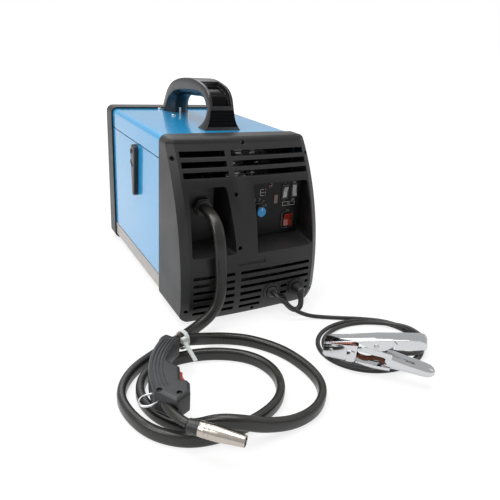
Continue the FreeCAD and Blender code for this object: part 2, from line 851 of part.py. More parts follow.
def makeSwitches():
    housings = []
    for (x, z) in selectorSpots:
        housings.append(rockerHousing(x, z, selectorHalf[0], selectorHalf[1]))
    housings.append(rockerHousing(powerSpot[0], powerSpot[1], powerHalf[0], powerHalf[1]))
    addFeature("switch_housings", Part.makeCompound(housings))
    names = ("selector_rocker_1", "selector_rocker_2")
    for name, (x, z), tilt in zip(names, selectorSpots, (10, -10)):
        form = rockerForm(x, z, selectorHalf[0] - 0.3, selectorHalf[1] - 0.7)
        form.rotate(at(x, plateFace, z), at(1, 0, 0), tilt)
        addFeature(name, form)
    form = rockerForm(powerSpot[0], powerSpot[1], powerHalf[0] - 0.4, powerHalf[1] - 0.7)
    form.rotate(at(powerSpot[0], plateFace, powerSpot[1]), at(1, 0, 0), 10)
    addFeature("power_rocker", form)


def makeKnobAndLamp():
    face = plateFace
    x, z = knobSpot
    turnedOut = Placement(at(x, face - 0.4, z), Rotation(at(1, 0, 0), 90))
    knob = addTurned(
        "speed_knob",
        [(0, -9.6), (3.0, -9.6), (3.0, 0), (11.5, 0), (11.5, 2.5), (9.6, 4), (9.0, 14.5),
         (8.2, 15.6), (0, 15.6)],
        turnedOut,
    )
    addTurned(
        "indicator_lamp",
        [(0, -8), (2.5, -8), (2.5, 0.0), (3.4, 0.0), (3.4, 0.8), (2.4, 0.8), (2.2, 2.2),
         (1.4, 3.0), (0, 3.4)],
        Placement(at(lampSpot[0], face - 0.05, lampSpot[1]), Rotation(at(1, 0, 0), 90)),
    )
    return knob


def makeControlBoard():
    face = plateFace
    x, z = knobSpot
    board = box(6, 100, face + 22, face + 23.6, 119, 204)
    pot = rod(8.5, at(x, face + 2.3, z), at(x, face + 22, z))
    pot = pot.cut(rod(3.08, at(x, face, z), at(x, face + 12, z)))
    parts = [pot]
    for px, pz, w, t, deep in ((56, 160, 8, 12, 14), (44, 130, 6, 6, 10), (30, 192, 5, 7, 8)):
        parts.append(box(px - w, px + w, face + 23.6, face + 23.6 + deep, pz - t, pz + t))
    for px, pz in ((9.5, 122.5), (97, 122.5), (9.5, 201)):
        parts.append(rod(3, at(px, controlBackY + tubThickness, pz), at(px, face + 22, pz)))
    addFeature("control_board", joined([board] + parts))


# Output sockets and the short changeover lead between them
def makeSockets():
    solids = []
    radius = sizes["socketRadius"]
    z = sizes["socketHeight"]
    rim = socketFace
    for x in (sizes["socketNear"], sizes["socketFar"]):
        ring = rod(radius, at(x, rim - 2.6, z), at(x, rim, z))
        barrel = rod(radius - 1.8, at(x, rim - 2.6, z), at(x, rim + 26, z))
        bore = rod(radius - 4.4, at(x, rim - 4, z), at(x, rim + 16, z))
        solids.append(ring.fuse(barrel).cut(bore))
    addFeature("output_sockets", Part.makeCompound(solids))


socketFace = frontEnd + 1.4


def tubeAlong(points, diameter):
    """A tube on straight runs joined by the largest tangent arcs that the runs allow."""
    edges = []
    start = points[0]
    radii = []
    for before, corner, after in zip(points, points[1:], points[2:]):
        into = (corner - before).normalize()
        away = (after - corner).normalize()
        turn = into.getAngle(away)
        reach = 0.45 * min((corner - before).Length, (after - corner).Length)
        radius = reach / math.tan(turn / 2)
        radii.append(radius)
        entry = corner - into * reach
        leave = corner + away * reach
        inward = (away - into).normalize()
        middle = corner + inward * (radius / math.cos(turn / 2) - radius)
        edges.append(Part.LineSegment(start, entry).toShape())
        edges.append(Part.Arc(entry, middle, leave).toShape())
        start = leave
    edges.append(Part.LineSegment(start, points[-1]).toShape())
    path = Part.Wire(edges)
    ring = Part.Wire(Part.makeCircle(diameter / 2, points[0], points[1] - points[0]))
    tube = path.makePipeShell([ring], True, False)
    expected = math.pi * diameter * diameter / 4 * path.Length
    print(f"tube length {path.Length:.0f} mm, volume share {tube.Volume / expected:.4f},"
          f" least radius {min(radii) / diameter:.1f} diameters")
    return tube


def pointsOf(route):
    return [at(x, y + laidShift, z) for x, y, z in route]


# Places that the cords pass, chosen by eye
hoseRest = sizes["hoseDiameter"] / 2
hoseRoute = [
    (-68, -160, 172), (-68, -183, 172), (-68, -208, 160), (-68, -220, 134), (-66, -222, 102),
    (-64, -222, 70), (-68, -224, 43), (-83, -226, 24), (-106, -231, 14), (-134, -246, 12.5),
    (-174, -263, 9), (-222, -290, 9), (-248, -330, 9), (-246, -374, 9),
    (-230, -413, 9), (-196, -442, 9), (-150, -446, 9), (-102, -435, 9), (-67, -409, 9),
    (-49, -370, 9), (-58, -328, 9), (-92, -300, 9), (-136, -286, 9), (-178, -288, 9),
    (-210, -305, 9), (-226, -338, 9), (-221, -374, 9), (-204, -402, 9), (-187, -420, 14),
    (-167, -436, 28.5), (-142, -450, 28.5), (-116, -459, 17), (-76, -461, 9), (-37, -452, 9),
    (-8, -422, 9), (-1, -379, 9),
    (-14, -326, 9), (-45, -285, 9), (-78, -267, 10), (-106, -266, 15.5), (-131, -273, 25.0),
]


def makeTorchHose():
    points = pointsOf(hoseRoute) + [torchPoint(-13.57, 9.18, 0), torchPoint(-1.02, 1.01, 0)]
    addFeature("torch_hose", tubeAlong(points, sizes["hoseDiameter"]))


def makeTorchGland():
    """The sleeve and nut that hold the hose in the back of the torch recess."""
    x = hoseExit.x
    z = hoseExit.z
    y = hoseExit.y
    nut = rod(15, at(x, y - 0.0, z), at(x, y - 9, z))
    for index in range(6):
        side = box(-30, 30, -40, 40, 13.0, 30)
        side.rotate(at(0, 0, 0), at(0, 1, 0), index * 60)
        side.translate(at(x, y, z))
        nut = nut.cut(side)
    stem = rod(10.9, at(x, y, z), at(x, y + 24, z))
    collar = rod(11.5, at(x, y - 9, z), at(x, y - 12, z))
    inlet = taperedRod(7, 3, at(x, y + 24, z), at(x, y + 44, z))
    addFeature("torch_gland", joined([nut, stem, collar, inlet]))


# The torch lies on its side, so its outline is drawn on a level plane
torchRear = at(-166.0, laidShift - 290.0, 0.0)
torchAlong = at(-0.357, -0.934, 0.0)
torchAcross = at(0.934, -0.357, 0.0)
torchLevel = 19.3 + sizes["gripThickness"] / 2


def torchPoint(u, v, w):
    flat = torchRear + torchAlong * u + torchAcross * v
    return at(flat.x, flat.y, torchLevel + w)


def torchPrism(outline, low, high):
    placed = []
    for point in outline:
        if isinstance(point[0], tuple):
            placed.append(tuple(torchPoint(pair[0], pair[1], low) for pair in point))
        else:
            placed.append(torchPoint(point[0], point[1], low))
    return prism(placed, at(0, 0, high - low))


def makeTorchHandle():
    half = sizes["gripThickness"] / 2
    outline = [
        (-6.6, -7.6),
        ((-1, -14.5), (8, -17.5)),
        ((56, -27.5), (108, -18.5)),
        (121, -1),
        (126, 6),
        (111, 21),
        (95, 21),
        (90, 18),
        (88, 10.5),
        (64, 9.5),
        (50, -5.5),
        ((26, -1.5), (4.6, 9.6)),
    ]
    form = torchPrism(outline, -half, half)
    rims = [e for e in form.Edges if abs(abs(e.CenterOfMass.z - torchLevel) - half) < 1e-4]
    form = form.makeFillet(4.5, rims)
    # Hollow for the neck, slot for the trigger and grooves along the grip
    slot = torchPrism([(60, -4), (91.5, -4), (91.5, 30), (60, 30)], -6.4, 6.4)
    neckSeat = rod(sizes["neckDiameter"] / 2 + 0.3, torchPoint(96, -12.5, 0), torchPoint(140, 9.2, 0))
    cuts = [slot, neckSeat]
    for side in (-1, 1):
        for index in range(4):
            v = -22 + index * 4.2
            groove = torchPrism(
                [(8, v + 12), ((52, v - 0.8), (100, v + 4.6)), (100, v + 6.2),
                 ((52, v + 0.8), (8, v + 13.6))],
                half - 1.1, half + 2,
            )
            if side < 0:
                groove = groove.mirror(torchPoint(0, 0, 0), at(0, 0, 1))
            cuts.append(groove)
        for u, v in ((107, -13), (113, 9)):
            cuts.append(rod(3.4, torchPoint(u, v, side * (half - 3)), torchPoint(u, v, side * (half + 2))))
    for start, end in ((hookRoute[0], hookRoute[1]), (hookRoute[-1], hookRoute[-2])):
        cuts.append(rod(1.4, torchPoint(*start, 4), torchPoint(*end, 4)))
    form = form.cut(cuts)
    pin = rod(1.5, torchPoint(*triggerPivot, -6.6), torchPoint(*triggerPivot, 6.3))
    for name, low, high in (("torch_grip_lower", -40, 0), ("torch_grip_upper", 0, 40)):
        halfSpace = box(-400, 0, -600, -150, torchLevel + low, torchLevel + high)
        shape = form.common(halfSpace)
        if low < 0:
            shape = shape.fuse(pin)
        addFeature(name, shape.removeSplitter())


triggerPivot = (66.5, 6.5)
hookRoute = [(99.5, -17.5), (101.5, -26), (106, -33), (114, -35.5), (121.5, -31), (121, -22), (111, -11)]


def makeTrigger():
    trigger = torchPrism(
        [(63, 3), (62.5, 8.5), (66, 13), ((76, 13.6), (84.5, 19.5)), (88.5, 17.5), (88.5, 11), (84, 3)],
        -5.9, 5.9,
    )
    pinHole = rod(1.55, torchPoint(*triggerPivot, -8), torchPoint(*triggerPivot, 8))
    addFeature("torch_trigger", trigger.cut(pinHole))


def makeHook():
    """A wire bail on the back of the torch."""
    points = [torchPoint(u, v, 4) for u, v in hookRoute]
    addFeature("torch_hook", tubeAlong(points, 2.6))


nozzleStart = (152.0, 27.5)
nozzleWay = (0.42, 0.9075)


def nozzlePoint(distance):
    return torchPoint(
        nozzleStart[0] + nozzleWay[0] * distance, nozzleStart[1] + nozzleWay[1] * distance, 0
    )


def makeNeckAndNozzle():
    route = [(98, -11.5), (124, 1.3), (137, 8.6), (147, 17.5)]
    points = [torchPoint(u, v, 0) for u, v in route] + [nozzlePoint(0.0), nozzlePoint(8.0)]
    addFeature("torch_neck", tubeAlong(points, sizes["neckDiameter"]))
    outer = sizes["nozzleDiameter"] / 2
    bore = sizes["nozzleBore"] / 2
    collar = rod(outer - 1.0, nozzlePoint(1.5), nozzlePoint(13))
    core = taperedRod(6.2, 5.2, nozzlePoint(13), nozzlePoint(24))
    collar = joined([collar, core]).cut(rod(sizes["neckDiameter"] / 2 + 0.05, nozzlePoint(-2), nozzlePoint(8.0)))
    addFeature("neck_collar", collar)
    length = sizes["nozzleLength"]
    nozzle = joined([
        rod(outer, nozzlePoint(13.2), nozzlePoint(13.2 + length * 0.62)),
        taperedRod(outer, outer - 1.6, nozzlePoint(13.2 + length * 0.62), nozzlePoint(13.2 + length)),
    ])
    cuts = [rod(bore + 0.1, nozzlePoint(12), nozzlePoint(15 + length))]
    for distance in (18.0, 24.5):
        cuts.append(tubeBetween(outer + 2, outer - 0.5, nozzlePoint(distance), nozzlePoint(distance + 1.2)))
    addFeature("gas_nozzle", nozzle.cut(cuts))
    tip = joined([
        rod(4.0, nozzlePoint(24), nozzlePoint(32)),
        rod(3.0, nozzlePoint(32), nozzlePoint(46)),
        taperedRod(3.0, 1.8, nozzlePoint(46), nozzlePoint(54)),
    ])
    addFeature("contact_tip", tip.cut(rod(0.6, nozzlePoint(30), nozzlePoint(56))))


def makeCableTie():
    """A flat strap round two passes of the hose, with its head and its loose tail."""
    along = (at(-152.5, -280.5, 0) - at(-129, -273, 0)).normalize()
    side = at(-along.y, along.x, 0)
    far = at(-134, laidShift - 246, 14.6)
    near = at(-134, laidShift - 274.6, 26.2)
    reach = sizes["hoseDiameter"] / 2 + 4.1
    lean = near - far
    lean = (side * lean.dot(side) + at(0, 0, lean.z)).normalize()
    up = side * -lean.z + at(0, 0, lean.dot(side))
    start = far
    end = far + lean * (near - far).dot(lean)

    def loop(radius, thick):
        a = end + up * radius
        b = start + up * radius
        c = start - up * radius
        d = end - up * radius
        points = [a, b, (start - lean * radius, c), d, (end + lean * radius, a)]
        placed = []
        for point in points:
            if isinstance(point, tuple):
                placed.append(tuple(p - along * (thick / 2) for p in point))
            else:
                placed.append(point - along * (thick / 2))
        return prism(placed[:-1] + [placed[-1]], along * thick)

    strap = loop(reach + 1.3, 5.4).cut(loop(reach, 9.0))
    grip = end + lean * (reach + 1.0)
    head = [grip + up * 4, grip - up * 4, grip - up * 4 + lean * 5, grip + up * 4 + lean * 5]
    head = prism([p - along * 4.2 for p in head], along * 8.4)
    bars = []
    for spot in (grip - up * 2 + lean * 2.2, tailEnd):
        run = (tailEnd - grip).normalize()
        wide = (along - run * along.dot(run)).normalize() * 2.7
        thick = run.cross(wide).normalize() * 0.7
        corners = [spot + wide + thick, spot - wide + thick, spot - wide - thick, spot + wide - thick]
        bars.append(Part.makePolygon(corners + corners[:1]))
    tail = Part.makeLoft(bars, True, True)
    addFeature("cable_tie", joined([strap, head, tail]))


tailEnd = at(-146.5, laidShift - 314.0, 19.8)


# Earth cable, its loose coil and the clamp
clampTip = at(34.0, laidShift - 355.0, 0.0)
clampAlong = at(0.667, -0.745, 0.0)
clampAcross = at(0.745, 0.667, 0.0)
clampBase = sizes["coilHeight"] + 0.4


def clampPoint(along, across, rise):
    flat = clampTip + clampAlong * along + clampAcross * across
    return at(flat.x, flat.y, clampBase + rise)


def clampPrism(outline, near, far):
    placed = []
    for point in outline:
        if isinstance(point[0], tuple):
            placed.append(tuple(clampPoint(pair[0], near, pair[1]) for pair in point))
        else:
            placed.append(clampPoint(point[0], near, point[1]))
    return prism(placed, clampAcross * (far - near))


pivotAlong = 73.0
pivotRise = 30.0


def makeClamp():
    half = sizes["clampWidth"] / 2
    sheetGauge = sizes["clampSheet"]
    lower = [
        (0, 0), (0, 20), (14, 21), (50, 22), (pivotAlong - 10, 30),
        ((pivotAlong, 38), (pivotAlong + 10, 32)), (100, 26), (142, 19),
        ((148, 10), (142, 1.5)), (110, 0), (60, 2), (30, 0),
    ]
    lowerForm = clampPrism(lower, -half, half)
    hollow = [
        (4, sheetGauge), (4, 26), (60, 60), (140, 60), (140, 20), (146, 10), (141, 3.3),
        (110, sheetGauge), (60, sheetGauge + 2), (30, sheetGauge),
    ]
    lowerForm = lowerForm.cut(clampPrism(hollow, -half + sheetGauge, half - sheetGauge))
    # The relief in the side that shows the spring
    relief = clampPrism([(58, 6), (84, 8), (84, 18), (62, 20)], -half - 2, half + 2)
    bore = rod(3.05, clampPoint(pivotAlong, -half - 3, pivotRise), clampPoint(pivotAlong, half + 3, pivotRise))
    rivetHole = rod(2.5, clampPoint(11, -half - 3, 8), clampPoint(11, half + 3, 8))
    anchor = clampPrism(
        [(115, 1), (115, 29), (118, 33), (124, 33), (126, 31), (126, 3)], -5.0, 5.0
    )
    addFeature("clamp_lower_arm", joined([lowerForm, anchor]).cut([relief, bore, rivetHole]))

    inner = half - sheetGauge - 0.4
    upper = [
        (1, 20.6), (14, 21.6), (50, 22.6), (pivotAlong - 9, 24),
        ((pivotAlong, 20.5), (pivotAlong + 9, 26)), (96, 42), (140, 52),
        ((149, 63), (141, 71)), (110, 62), (60, 46), (20, 29),
    ]
    upperForm = clampPrism(upper, -inner, inner)
    channel = [
        (12, 10), (12, 24.5), (60, 43.8), (110, 60), (139, 68.5), (160, 70), (160, 20), (90, 10),
    ]
    upperForm = upperForm.cut(clampPrism(channel, -inner + sheetGauge, inner - sheetGauge))
    addFeature("clamp_upper_arm", upperForm.cut([bore, clampPrism([(0, 0), (0, 10), (30, 10), (30, 0)], -30, 30)]))

    pin = joined([
        rod(3.0, clampPoint(pivotAlong, -half - 0.6, pivotRise), clampPoint(pivotAlong, half + 0.6, pivotRise)),
        rod(4.6, clampPoint(pivotAlong, -half - 2.2, pivotRise), clampPoint(pivotAlong, -half - 0.2, pivotRise)),
        rod(4.6, clampPoint(pivotAlong, half + 0.2, pivotRise), clampPoint(pivotAlong, half + 2.2, pivotRise)),
    ])
    rivet = rod(2.45, clampPoint(11, -half - 1, 8), clampPoint(11, half + 1, 8))
    addFeature("clamp_pins", Part.makeCompound([pin, rivet]))


def makeClampSpring():
    """Coil spring round the pivot pin, with a leg in each handle."""
    turns = []
    for index in range(4):
        ring = Part.makeTorus(4.2, 0.9, clampPoint(pivotAlong, -4.5 + index * 2.6, pivotRise), clampAcross)
        turns.append(ring)
    legs = [
        rod(0.9, clampPoint(pivotAlong + 1, -4.5, pivotRise - 4.1), clampPoint(pivotAlong + 38, -4.5, 4.2)),
        rod(0.9, clampPoint(pivotAlong + 1, 3.3, pivotRise + 4.1), clampPoint(pivotAlong + 27, 3.3, 44.0)),
    ]
    links = rod(0.8, clampPoint(pivotAlong - 4.2, -4.5, pivotRise), clampPoint(pivotAlong - 4.2, 3.3, pivotRise))
    addFeature("clamp_spring", joined(turns + legs + [links]))


def makeClampJaws():
    inner = sizes["clampWidth"] / 2 - sizes["clampSheet"] - 0.8
    lower = clampPrism(
        [(5, 10.7), (5, 19.6), (12, 18.2), (19, 19.6), (26, 18.4), (33, 19.8), (33, 10.7)],
        -inner + 1.2, inner - 1.2,
    )
    addFeature("clamp_jaw_lower", lower)
    upper = clampPrism(
        [(14, 20.2), (20, 21.8), (27, 20.4), (34, 22), (34, 31.5), (20, 26)],
        -inner + 1.7, inner - 1.7,
    )
    addFeature("clamp_jaw_upper", upper)


coilCentre = at(117.0, laidShift - 355.0, 0.0)
coilOuter = 96.0
coilInner = 69.0
coilSquash = 0.835


def makeEarthCoil():
    """The outer shape of the loose turns, a flat oval ring."""
    faces = []
    for reach in (coilOuter, coilInner):
        oval = Part.Ellipse(at(0, 0, 0), reach, reach * coilSquash)
        faces.append(Part.Face(Part.Wire(oval.toShape())))
    ring = faces[0].cut(faces[1]).extrude(at(0, 0, sizes["coilHeight"]))
    ring.translate(coilCentre)
    addFeature("earth_coil", ring)


cableRest = sizes["cableDiameter"] / 2
leadRoute = [
    (30.7, -218.05, 38.9), (30.7, -227, 38.9), (36, -236, 33.5), (47, -243, 25), (61, -249, 14.5),
    (80, -255, 6), (102, -264, 3.8), (126, -276.5, 3.8),
]
tailRoute = [
    (190, -400, 3.8), (190, -431, 5), (178, -452, 13), (164, -467, 24), (149, -475, 33),
]


def makeEarthCable():
    lead = tubeAlong(pointsOf(leadRoute), sizes["cableDiameter"])
    tail = tubeAlong(pointsOf(tailRoute) + [clampPoint(144, 0, 27), clampPoint(126.05, 0, 27)],
                     sizes["cableDiameter"])
    addFeature("earth_cable", lead)
    addFeature("earth_cable_tail", tail)


changeoverRoute = [
    (77.6, -230.0, 30.5), (77.0, -234, 22.0), (73, -237, 12.8), (64.5, -235.5, 9.2), (56.5, -228.5, 14.5),
    (54.5, -218.5, 19.6), (54.5, -199, 19.6),
]
leadX = 54.5
leadZ = 19.6


def makeChangeoverLead():
    addFeature("changeover_lead", tubeAlong(pointsOf(changeoverRoute), sizes["leadDiameter"]))
    start = at(sizes["socketFar"], socketFace + 12, sizes["socketHeight"])
    nose = at(*changeoverRoute[0])
    mouth = nose + (nose - at(*changeoverRoute[1])).normalize() * 8.6
    plug = joined([
        rod(9.6, start, at(sizes["socketFar"], socketFace - 3, sizes["socketHeight"])),
        taperedRod(8.4, 6.6, at(sizes["socketFar"], socketFace, sizes["socketHeight"]), mouth),
        Part.makeSphere(7.0, mouth),
        taperedRod(6.6, 5.2, mouth, nose),
    ])
    near = sizes["socketNear"]
    lead = at(*leadRoute[0])
    earthPlug = joined([
        rod(9.6, at(near, socketFace + 12, sizes["socketHeight"]),
            at(near, socketFace - 4, sizes["socketHeight"])),
        taperedRod(9.6, 6.0, at(near, socketFace - 4, sizes["socketHeight"]),
                   at(near, lead.y + 0.05, sizes["socketHeight"])),
    ])
    addFeature("cable_plugs", Part.makeCompound([plug, earthPlug]))


# Inside the cabinet
def makeDivider():
    body = addBody("divider_wall")
    x = sizes["dividerPlace"]
    section = [
        (x, panFloor), (x + 14, panFloor), (x + 14, panFloor + skin), (x + skin, panFloor + skin),
        (x + skin, coverTop - skin - 6), (x, coverTop - skin - 6),
    ]
    sketch = addSketch(body, "XZ_Plane", f"-({rearJoint - 2})", [section])
    addPad(body, sketch, "Sizes.bodyLength - 4")
    holes = addCircles(
        body, "YZ_Plane", f"{x - 1}",
        [((sizes["feederPlace"], sizes["feederRise"]), 9.0),
         ((sizes["spoolPlace"], sizes["spoolRise"]), 5.1), ((-92, 40), 8), ((150, 40), 8)],
    )
    addPocket(body, holes, "Sizes.skin + 2", True)


def makeSpool():
    x1 = sizes["dividerPlace"] - 30
    x0 = x1 - sizes["spoolWidth"]
    y = sizes["spoolPlace"]
    z = sizes["spoolRise"]
    radius = sizes["spoolRadius"]
    bore = sizes["spoolBore"]

    def disc(r, a, b):
        return rod(r, at(a, y, z), at(b, y, z))

    flanges = joined([disc(radius, x0, x0 + 3), disc(radius, x1 - 3, x1), disc(bore + 4, x0, x1)])
    windows = [disc(bore, x0 - 1, x1 + 1)]
    for index in range(6):
        angle = math.radians(60 * index)
        spot = (y + 60 * math.cos(angle), z + 60 * math.sin(angle))
        windows.append(rod(17, at(x0 - 1, *spot), at(x0 + 4, *spot)))
        windows.append(rod(17, at(x1 - 4, *spot), at(x1 + 1, *spot)))
    addFeature("wire_spool", flanges.cut(windows))
    coil = disc(84, x0 + 3.2, x1 - 3.2).cut(disc(bore + 4.2, x0, x1))
    addFeature("wire_coil", coil)
    spindle = joined([
        disc(bore - sizes["runningGap"], x0 + 2, x1 + 2),
        disc(5.0, x1 + 2, sizes["dividerPlace"] + skin + 8),
        disc(14.0, x1 + 2, sizes["dividerPlace"] - 0.0),
        disc(9.0, x0 - 8, x0 + 2),
        disc(9.0, sizes["dividerPlace"] + skin, sizes["dividerPlace"] + skin + 6),
    ])
    grip = box(x0 - 7, x0 + 2.5, y - 22, y + 22, z - 4, z + 4)
    addFeature("spool_spindle", joined([spindle, grip]))


def makeFeeder():
    y = sizes["feederPlace"]
    z = sizes["feederRise"]
    wall0 = sizes["dividerPlace"]
    roll = sizes["rollRadius"]
    press = sizes["pressRadius"]
    gap = sizes["wireDiameter"]
    pressRise = z + roll + gap + press

    def across(r, a, b, py, pz):
        return rod(r, at(a, py, pz), at(b, py, pz))

    plate = sidePrism(
        [(y - 22, z - 30), (y + 30, z - 30), (y + 30, z + 34), (y + 22, z + 40), (y - 22, z + 10)],
        wall0 - 6, wall0,
    )
    guide = rod(3.2, at(wall0 - 16, y + 21, z + roll + gap / 2), at(wall0 - 16, y + 32, z + roll + gap / 2))
    block = box(wall0 - 21, wall0 - 5, y + 22, y + 30, z + roll - 6, z + roll + 5)
    outlet = box(wall0 - 21, wall0 - 5, y - 27, y - 20, z + roll - 6, z + roll + 5)
    wireWay = rod(1.0, at(wall0 - 16, y - 30, z + roll + gap / 2), at(wall0 - 16, y + 34, z + roll + gap / 2))
    pivotSpot = (y + 24, pressRise + 4)
    pivotPin = across(3.0, wall0 - 24, wall0 - 5, *pivotSpot)
    plate = joined([plate, guide, block, outlet, pivotPin]).cut([wireWay, across(8.5, wall0 - 8, wall0 + 2, y, z)])
    addFeature("feeder_plate", plate)

    rollForm = joined([
        across(roll, wall0 - 21, wall0 - 11, y, z), across(7, wall0 - 11, wall0 + 6, y, z),
        across(6, wall0 - 24, wall0 - 21, y, z),
    ])
    groove = Part.makeTorus(roll + 0.2, 0.6, at(wall0 - 16, y, z), at(1, 0, 0))
    addFeature("drive_roll", rollForm.cut(groove))

    motor = joined([
        across(8, wall0 + 6.3, wall0 + 10, y, z),
        box(wall0 + skin, wall0 + 30, y - 24, y + 24, z - 26, z + 26).cut(
            across(8.6, wall0, wall0 + 6.3, y, z)
        ),
        across(19, wall0 + 30, wall0 + 78, y, z - 4),
        across(9, wall0 + 78, wall0 + 82, y, z - 4),
    ])
    addFeature("gear_motor", motor)

    arm = joined([
        sidePrism(
            [(y - 30, pressRise + 6), (y - 30, pressRise + 13), (y - 15, pressRise + 13), (y + 6, pressRise + 15),
             (y + 24, pressRise + 12), ((y + 31, pressRise + 4), (y + 24, pressRise - 4)),
             (y + 14, pressRise + 1), (y + 13.5, pressRise + 6), (y - 13.5, pressRise + 13.0),
             (y - 14.5, pressRise + 6)],
            wall0 - 23, wall0 - 9,
        ),
        sidePrism(
            [(y - 8, pressRise - 6), (y + 8, pressRise - 6), (y + 20, pressRise + 10), (y - 12, pressRise + 14)],
            wall0 - 24.5, wall0 - 22,
        ),
        across(3.5, wall0 - 24, wall0 - 10.6, y, pressRise),
    ])
    arm = arm.cut([
        across(3.05, wall0 - 26, wall0, *pivotSpot),
        tubeBetween(press + 1.2, 3.5, at(wall0 - 21.7, y, pressRise), at(wall0 - 8, y, pressRise)),
    ])
    addFeature("pressure_arm", arm)
    bearing = across(press, wall0 - 21, wall0 - 11, y, pressRise)
    bearing = bearing.cut(across(3.56, wall0 - 23, wall0 - 9, y, pressRise))
    addFeature("pressure_roll", bearing)

    knobBase = at(wall0 - 16, y - 24, pressRise + 13.2)
    stem = rod(2.5, knobBase, knobBase + at(0, 0, 10))
    knobForm = joined([
        stem, rod(8.0, knobBase + at(0, 0, 6), knobBase + at(0, 0, 30)),
        rod(6.0, knobBase + at(0, 0, 0.1), knobBase + at(0, 0, 6)),
    ])
    flutes = []
    for index in range(8):
        angle = math.radians(45 * index)
        spot = knobBase + at(8.4 * math.cos(angle), 8.4 * math.sin(angle), 8)
        flutes.append(Part.makeCylinder(1.6, 20, spot))
    addFeature("tension_knob", knobForm.cut(flutes))


def makeTransformer():
    x0, x1, y0, y1, z0, z1 = 22.0, 94.0, -24.0, 84.0, panFloor, panFloor + 92
    core = box(x0, x1, y0, y1, z0, z1)
    windowY = 22.0
    for y in (y0 + 18, y1 - 18 - windowY):
        core = core.cut(box(x0 - 1, x1 + 1, y, y + windowY, z0 + 18, z1 - 18))
    addFeature("transformer_core", core)
    middle0 = y0 + 18 + windowY
    middle1 = y1 - 18 - windowY
    grow = windowY - 2.0
    coil = box(x0 - 16, x1 + 16, middle0 - grow, middle1 + grow, z0 + 19, z1 - 19)
    corners = [e for e in coil.Edges if abs(e.tangentAt(e.FirstParameter).z) > 0.99]
    coil = coil.makeFillet(12, corners)
    coil = coil.cut(box(x0 - 0.4, x1 + 0.4, middle0 - 0.4, middle1 + 0.4, z0, z1))
    addFeature("transformer_coils", coil)
    # Smoothing choke beside the front grille
    choke = box(24, 84, -98, -46, panFloor, panFloor + 44)
    choke = choke.cut([box(20, 90, -88, -77, panFloor + 10, panFloor + 34),
                       box(20, 90, -67, -56, panFloor + 10, panFloor + 34)])
    winding = box(18, 90, -87.5, -56.5, panFloor + 10.5, panFloor + 33.5)
    winding = winding.cut(box(23.6, 84.4, -77.4, -66.6, panFloor, panFloor + 60))
    addFeature("output_choke", Part.makeCompound([choke, winding]))


def makeRectifier():
    base = box(24, 92, 8, 78, 112, 116)
    fins = [box(24 + 7 * index, 26 + 7 * index, 8, 78, 116, 148) for index in range(10)]
    feet = [box(x, x + 3, 8, 14, coilTop, 112) for x in (30, 83)]
    feet += [box(x, x + 3, 72, 78, coilTop, 112) for x in (30, 83)]
    addFeature("rectifier", joined([base] + fins + feet))


coilTop = panFloor + 92


def makeFan():
    x = fanPlace
    z = sizes["fanRise"]
    radius = sizes["fanRadius"]
    front = rearJoint - 4
    back = rearEnd - wall - 1.5
    frame = roundedBox(x - 60, x + 60, front, back - 12, z - 60, z + 60, 6)
    frame = frame.cut(rod(radius + 3, at(x, front - 1, z), at(x, back, z)))
    arms = [
        box(x - radius - 6, x + radius + 6, back - 14, back - 12, z - 3, z + 3),
        box(x - 3, x + 3, back - 14, back - 12, z - radius - 6, z + radius + 6),
        rod(17, at(x, back - 16, z), at(x, back - 12, z)),
        rod(3, at(x, front + 4, z), at(x, back - 14, z)),
    ]
    posts = []
    for dx in (-54, 54):
        for dz in (-54, 54):
            posts.append(rod(4, at(x + dx, back - 12, z + dz), at(x + dx, rearEnd - wall, z + dz)))
    addFeature("fan_frame", joined([frame] + arms + posts))
    hub = tubeBetween(15, 3.05, at(x, front + 3, z), at(x, back - 16.6, z))
    blades = []
    for index in range(7):
        blade = box(-9, 9, -0.9, 0.9, 14, radius - 1.5)
        blade.rotate(at(0, 0, 0), at(0, 0, 1), 32)
        blade.rotate(at(0, 0, 0), at(0, 1, 0), index * 360 / 7)
        blade.translate(at(x, (front + back - 14) / 2, z))
        blades.append(blade)
    addFeature("fan_rotor", joined([hub] + blades))


def makeRearFittings():
    """The mains cable gland and the gas inlet with its valve."""
    y = recessFloor
    gland = joined([
        rod(8.0, at(glandX, y - 14, glandZ), at(glandX, y, glandZ)),
        rod(13, at(glandX, y, glandZ), at(glandX, y + 5, glandZ)),
        taperedRod(11, 7.5, at(glandX, y + 5, glandZ), at(glandX, y + 17, glandZ)),
        rod(12, at(glandX, y - 9, glandZ), at(glandX, y - wall, glandZ)),
    ])
    gland = gland.cut(rod(4.6, at(glandX, y - 16, glandZ), at(glandX, y + 20, glandZ)))
    addFeature("mains_gland", gland)
    inlet = joined([
        rod(6.0, at(gasX, y - 14, gasZ), at(gasX, y, gasZ)),
        rod(9, at(gasX, y, gasZ), at(gasX, y + 4, gasZ)),
        rod(3.4, at(gasX, y + 4, gasZ), at(gasX, y + 10, gasZ)),
        rod(2.6, at(gasX, y + 4, gasZ), at(gasX, y + 17, gasZ)),
        taperedRod(3.4, 2.7, at(gasX, y + 10.6, gasZ), at(gasX, y + 13.4, gasZ)),
        taperedRod(3.4, 2.7, at(gasX, y + 13.8, gasZ), at(gasX, y + 16.4, gasZ)),
        rod(10, at(gasX, y - 9, gasZ), at(gasX, y - wall, gasZ)),
        box(gasX - 13, gasX + 13, y - 36, y - 13, gasZ - 14, gasZ + 14),
    ])
    addFeature("gas_valve", inlet.cut(rod(1.8, at(gasX, y - 12, gasZ), at(gasX, y + 20, gasZ))))


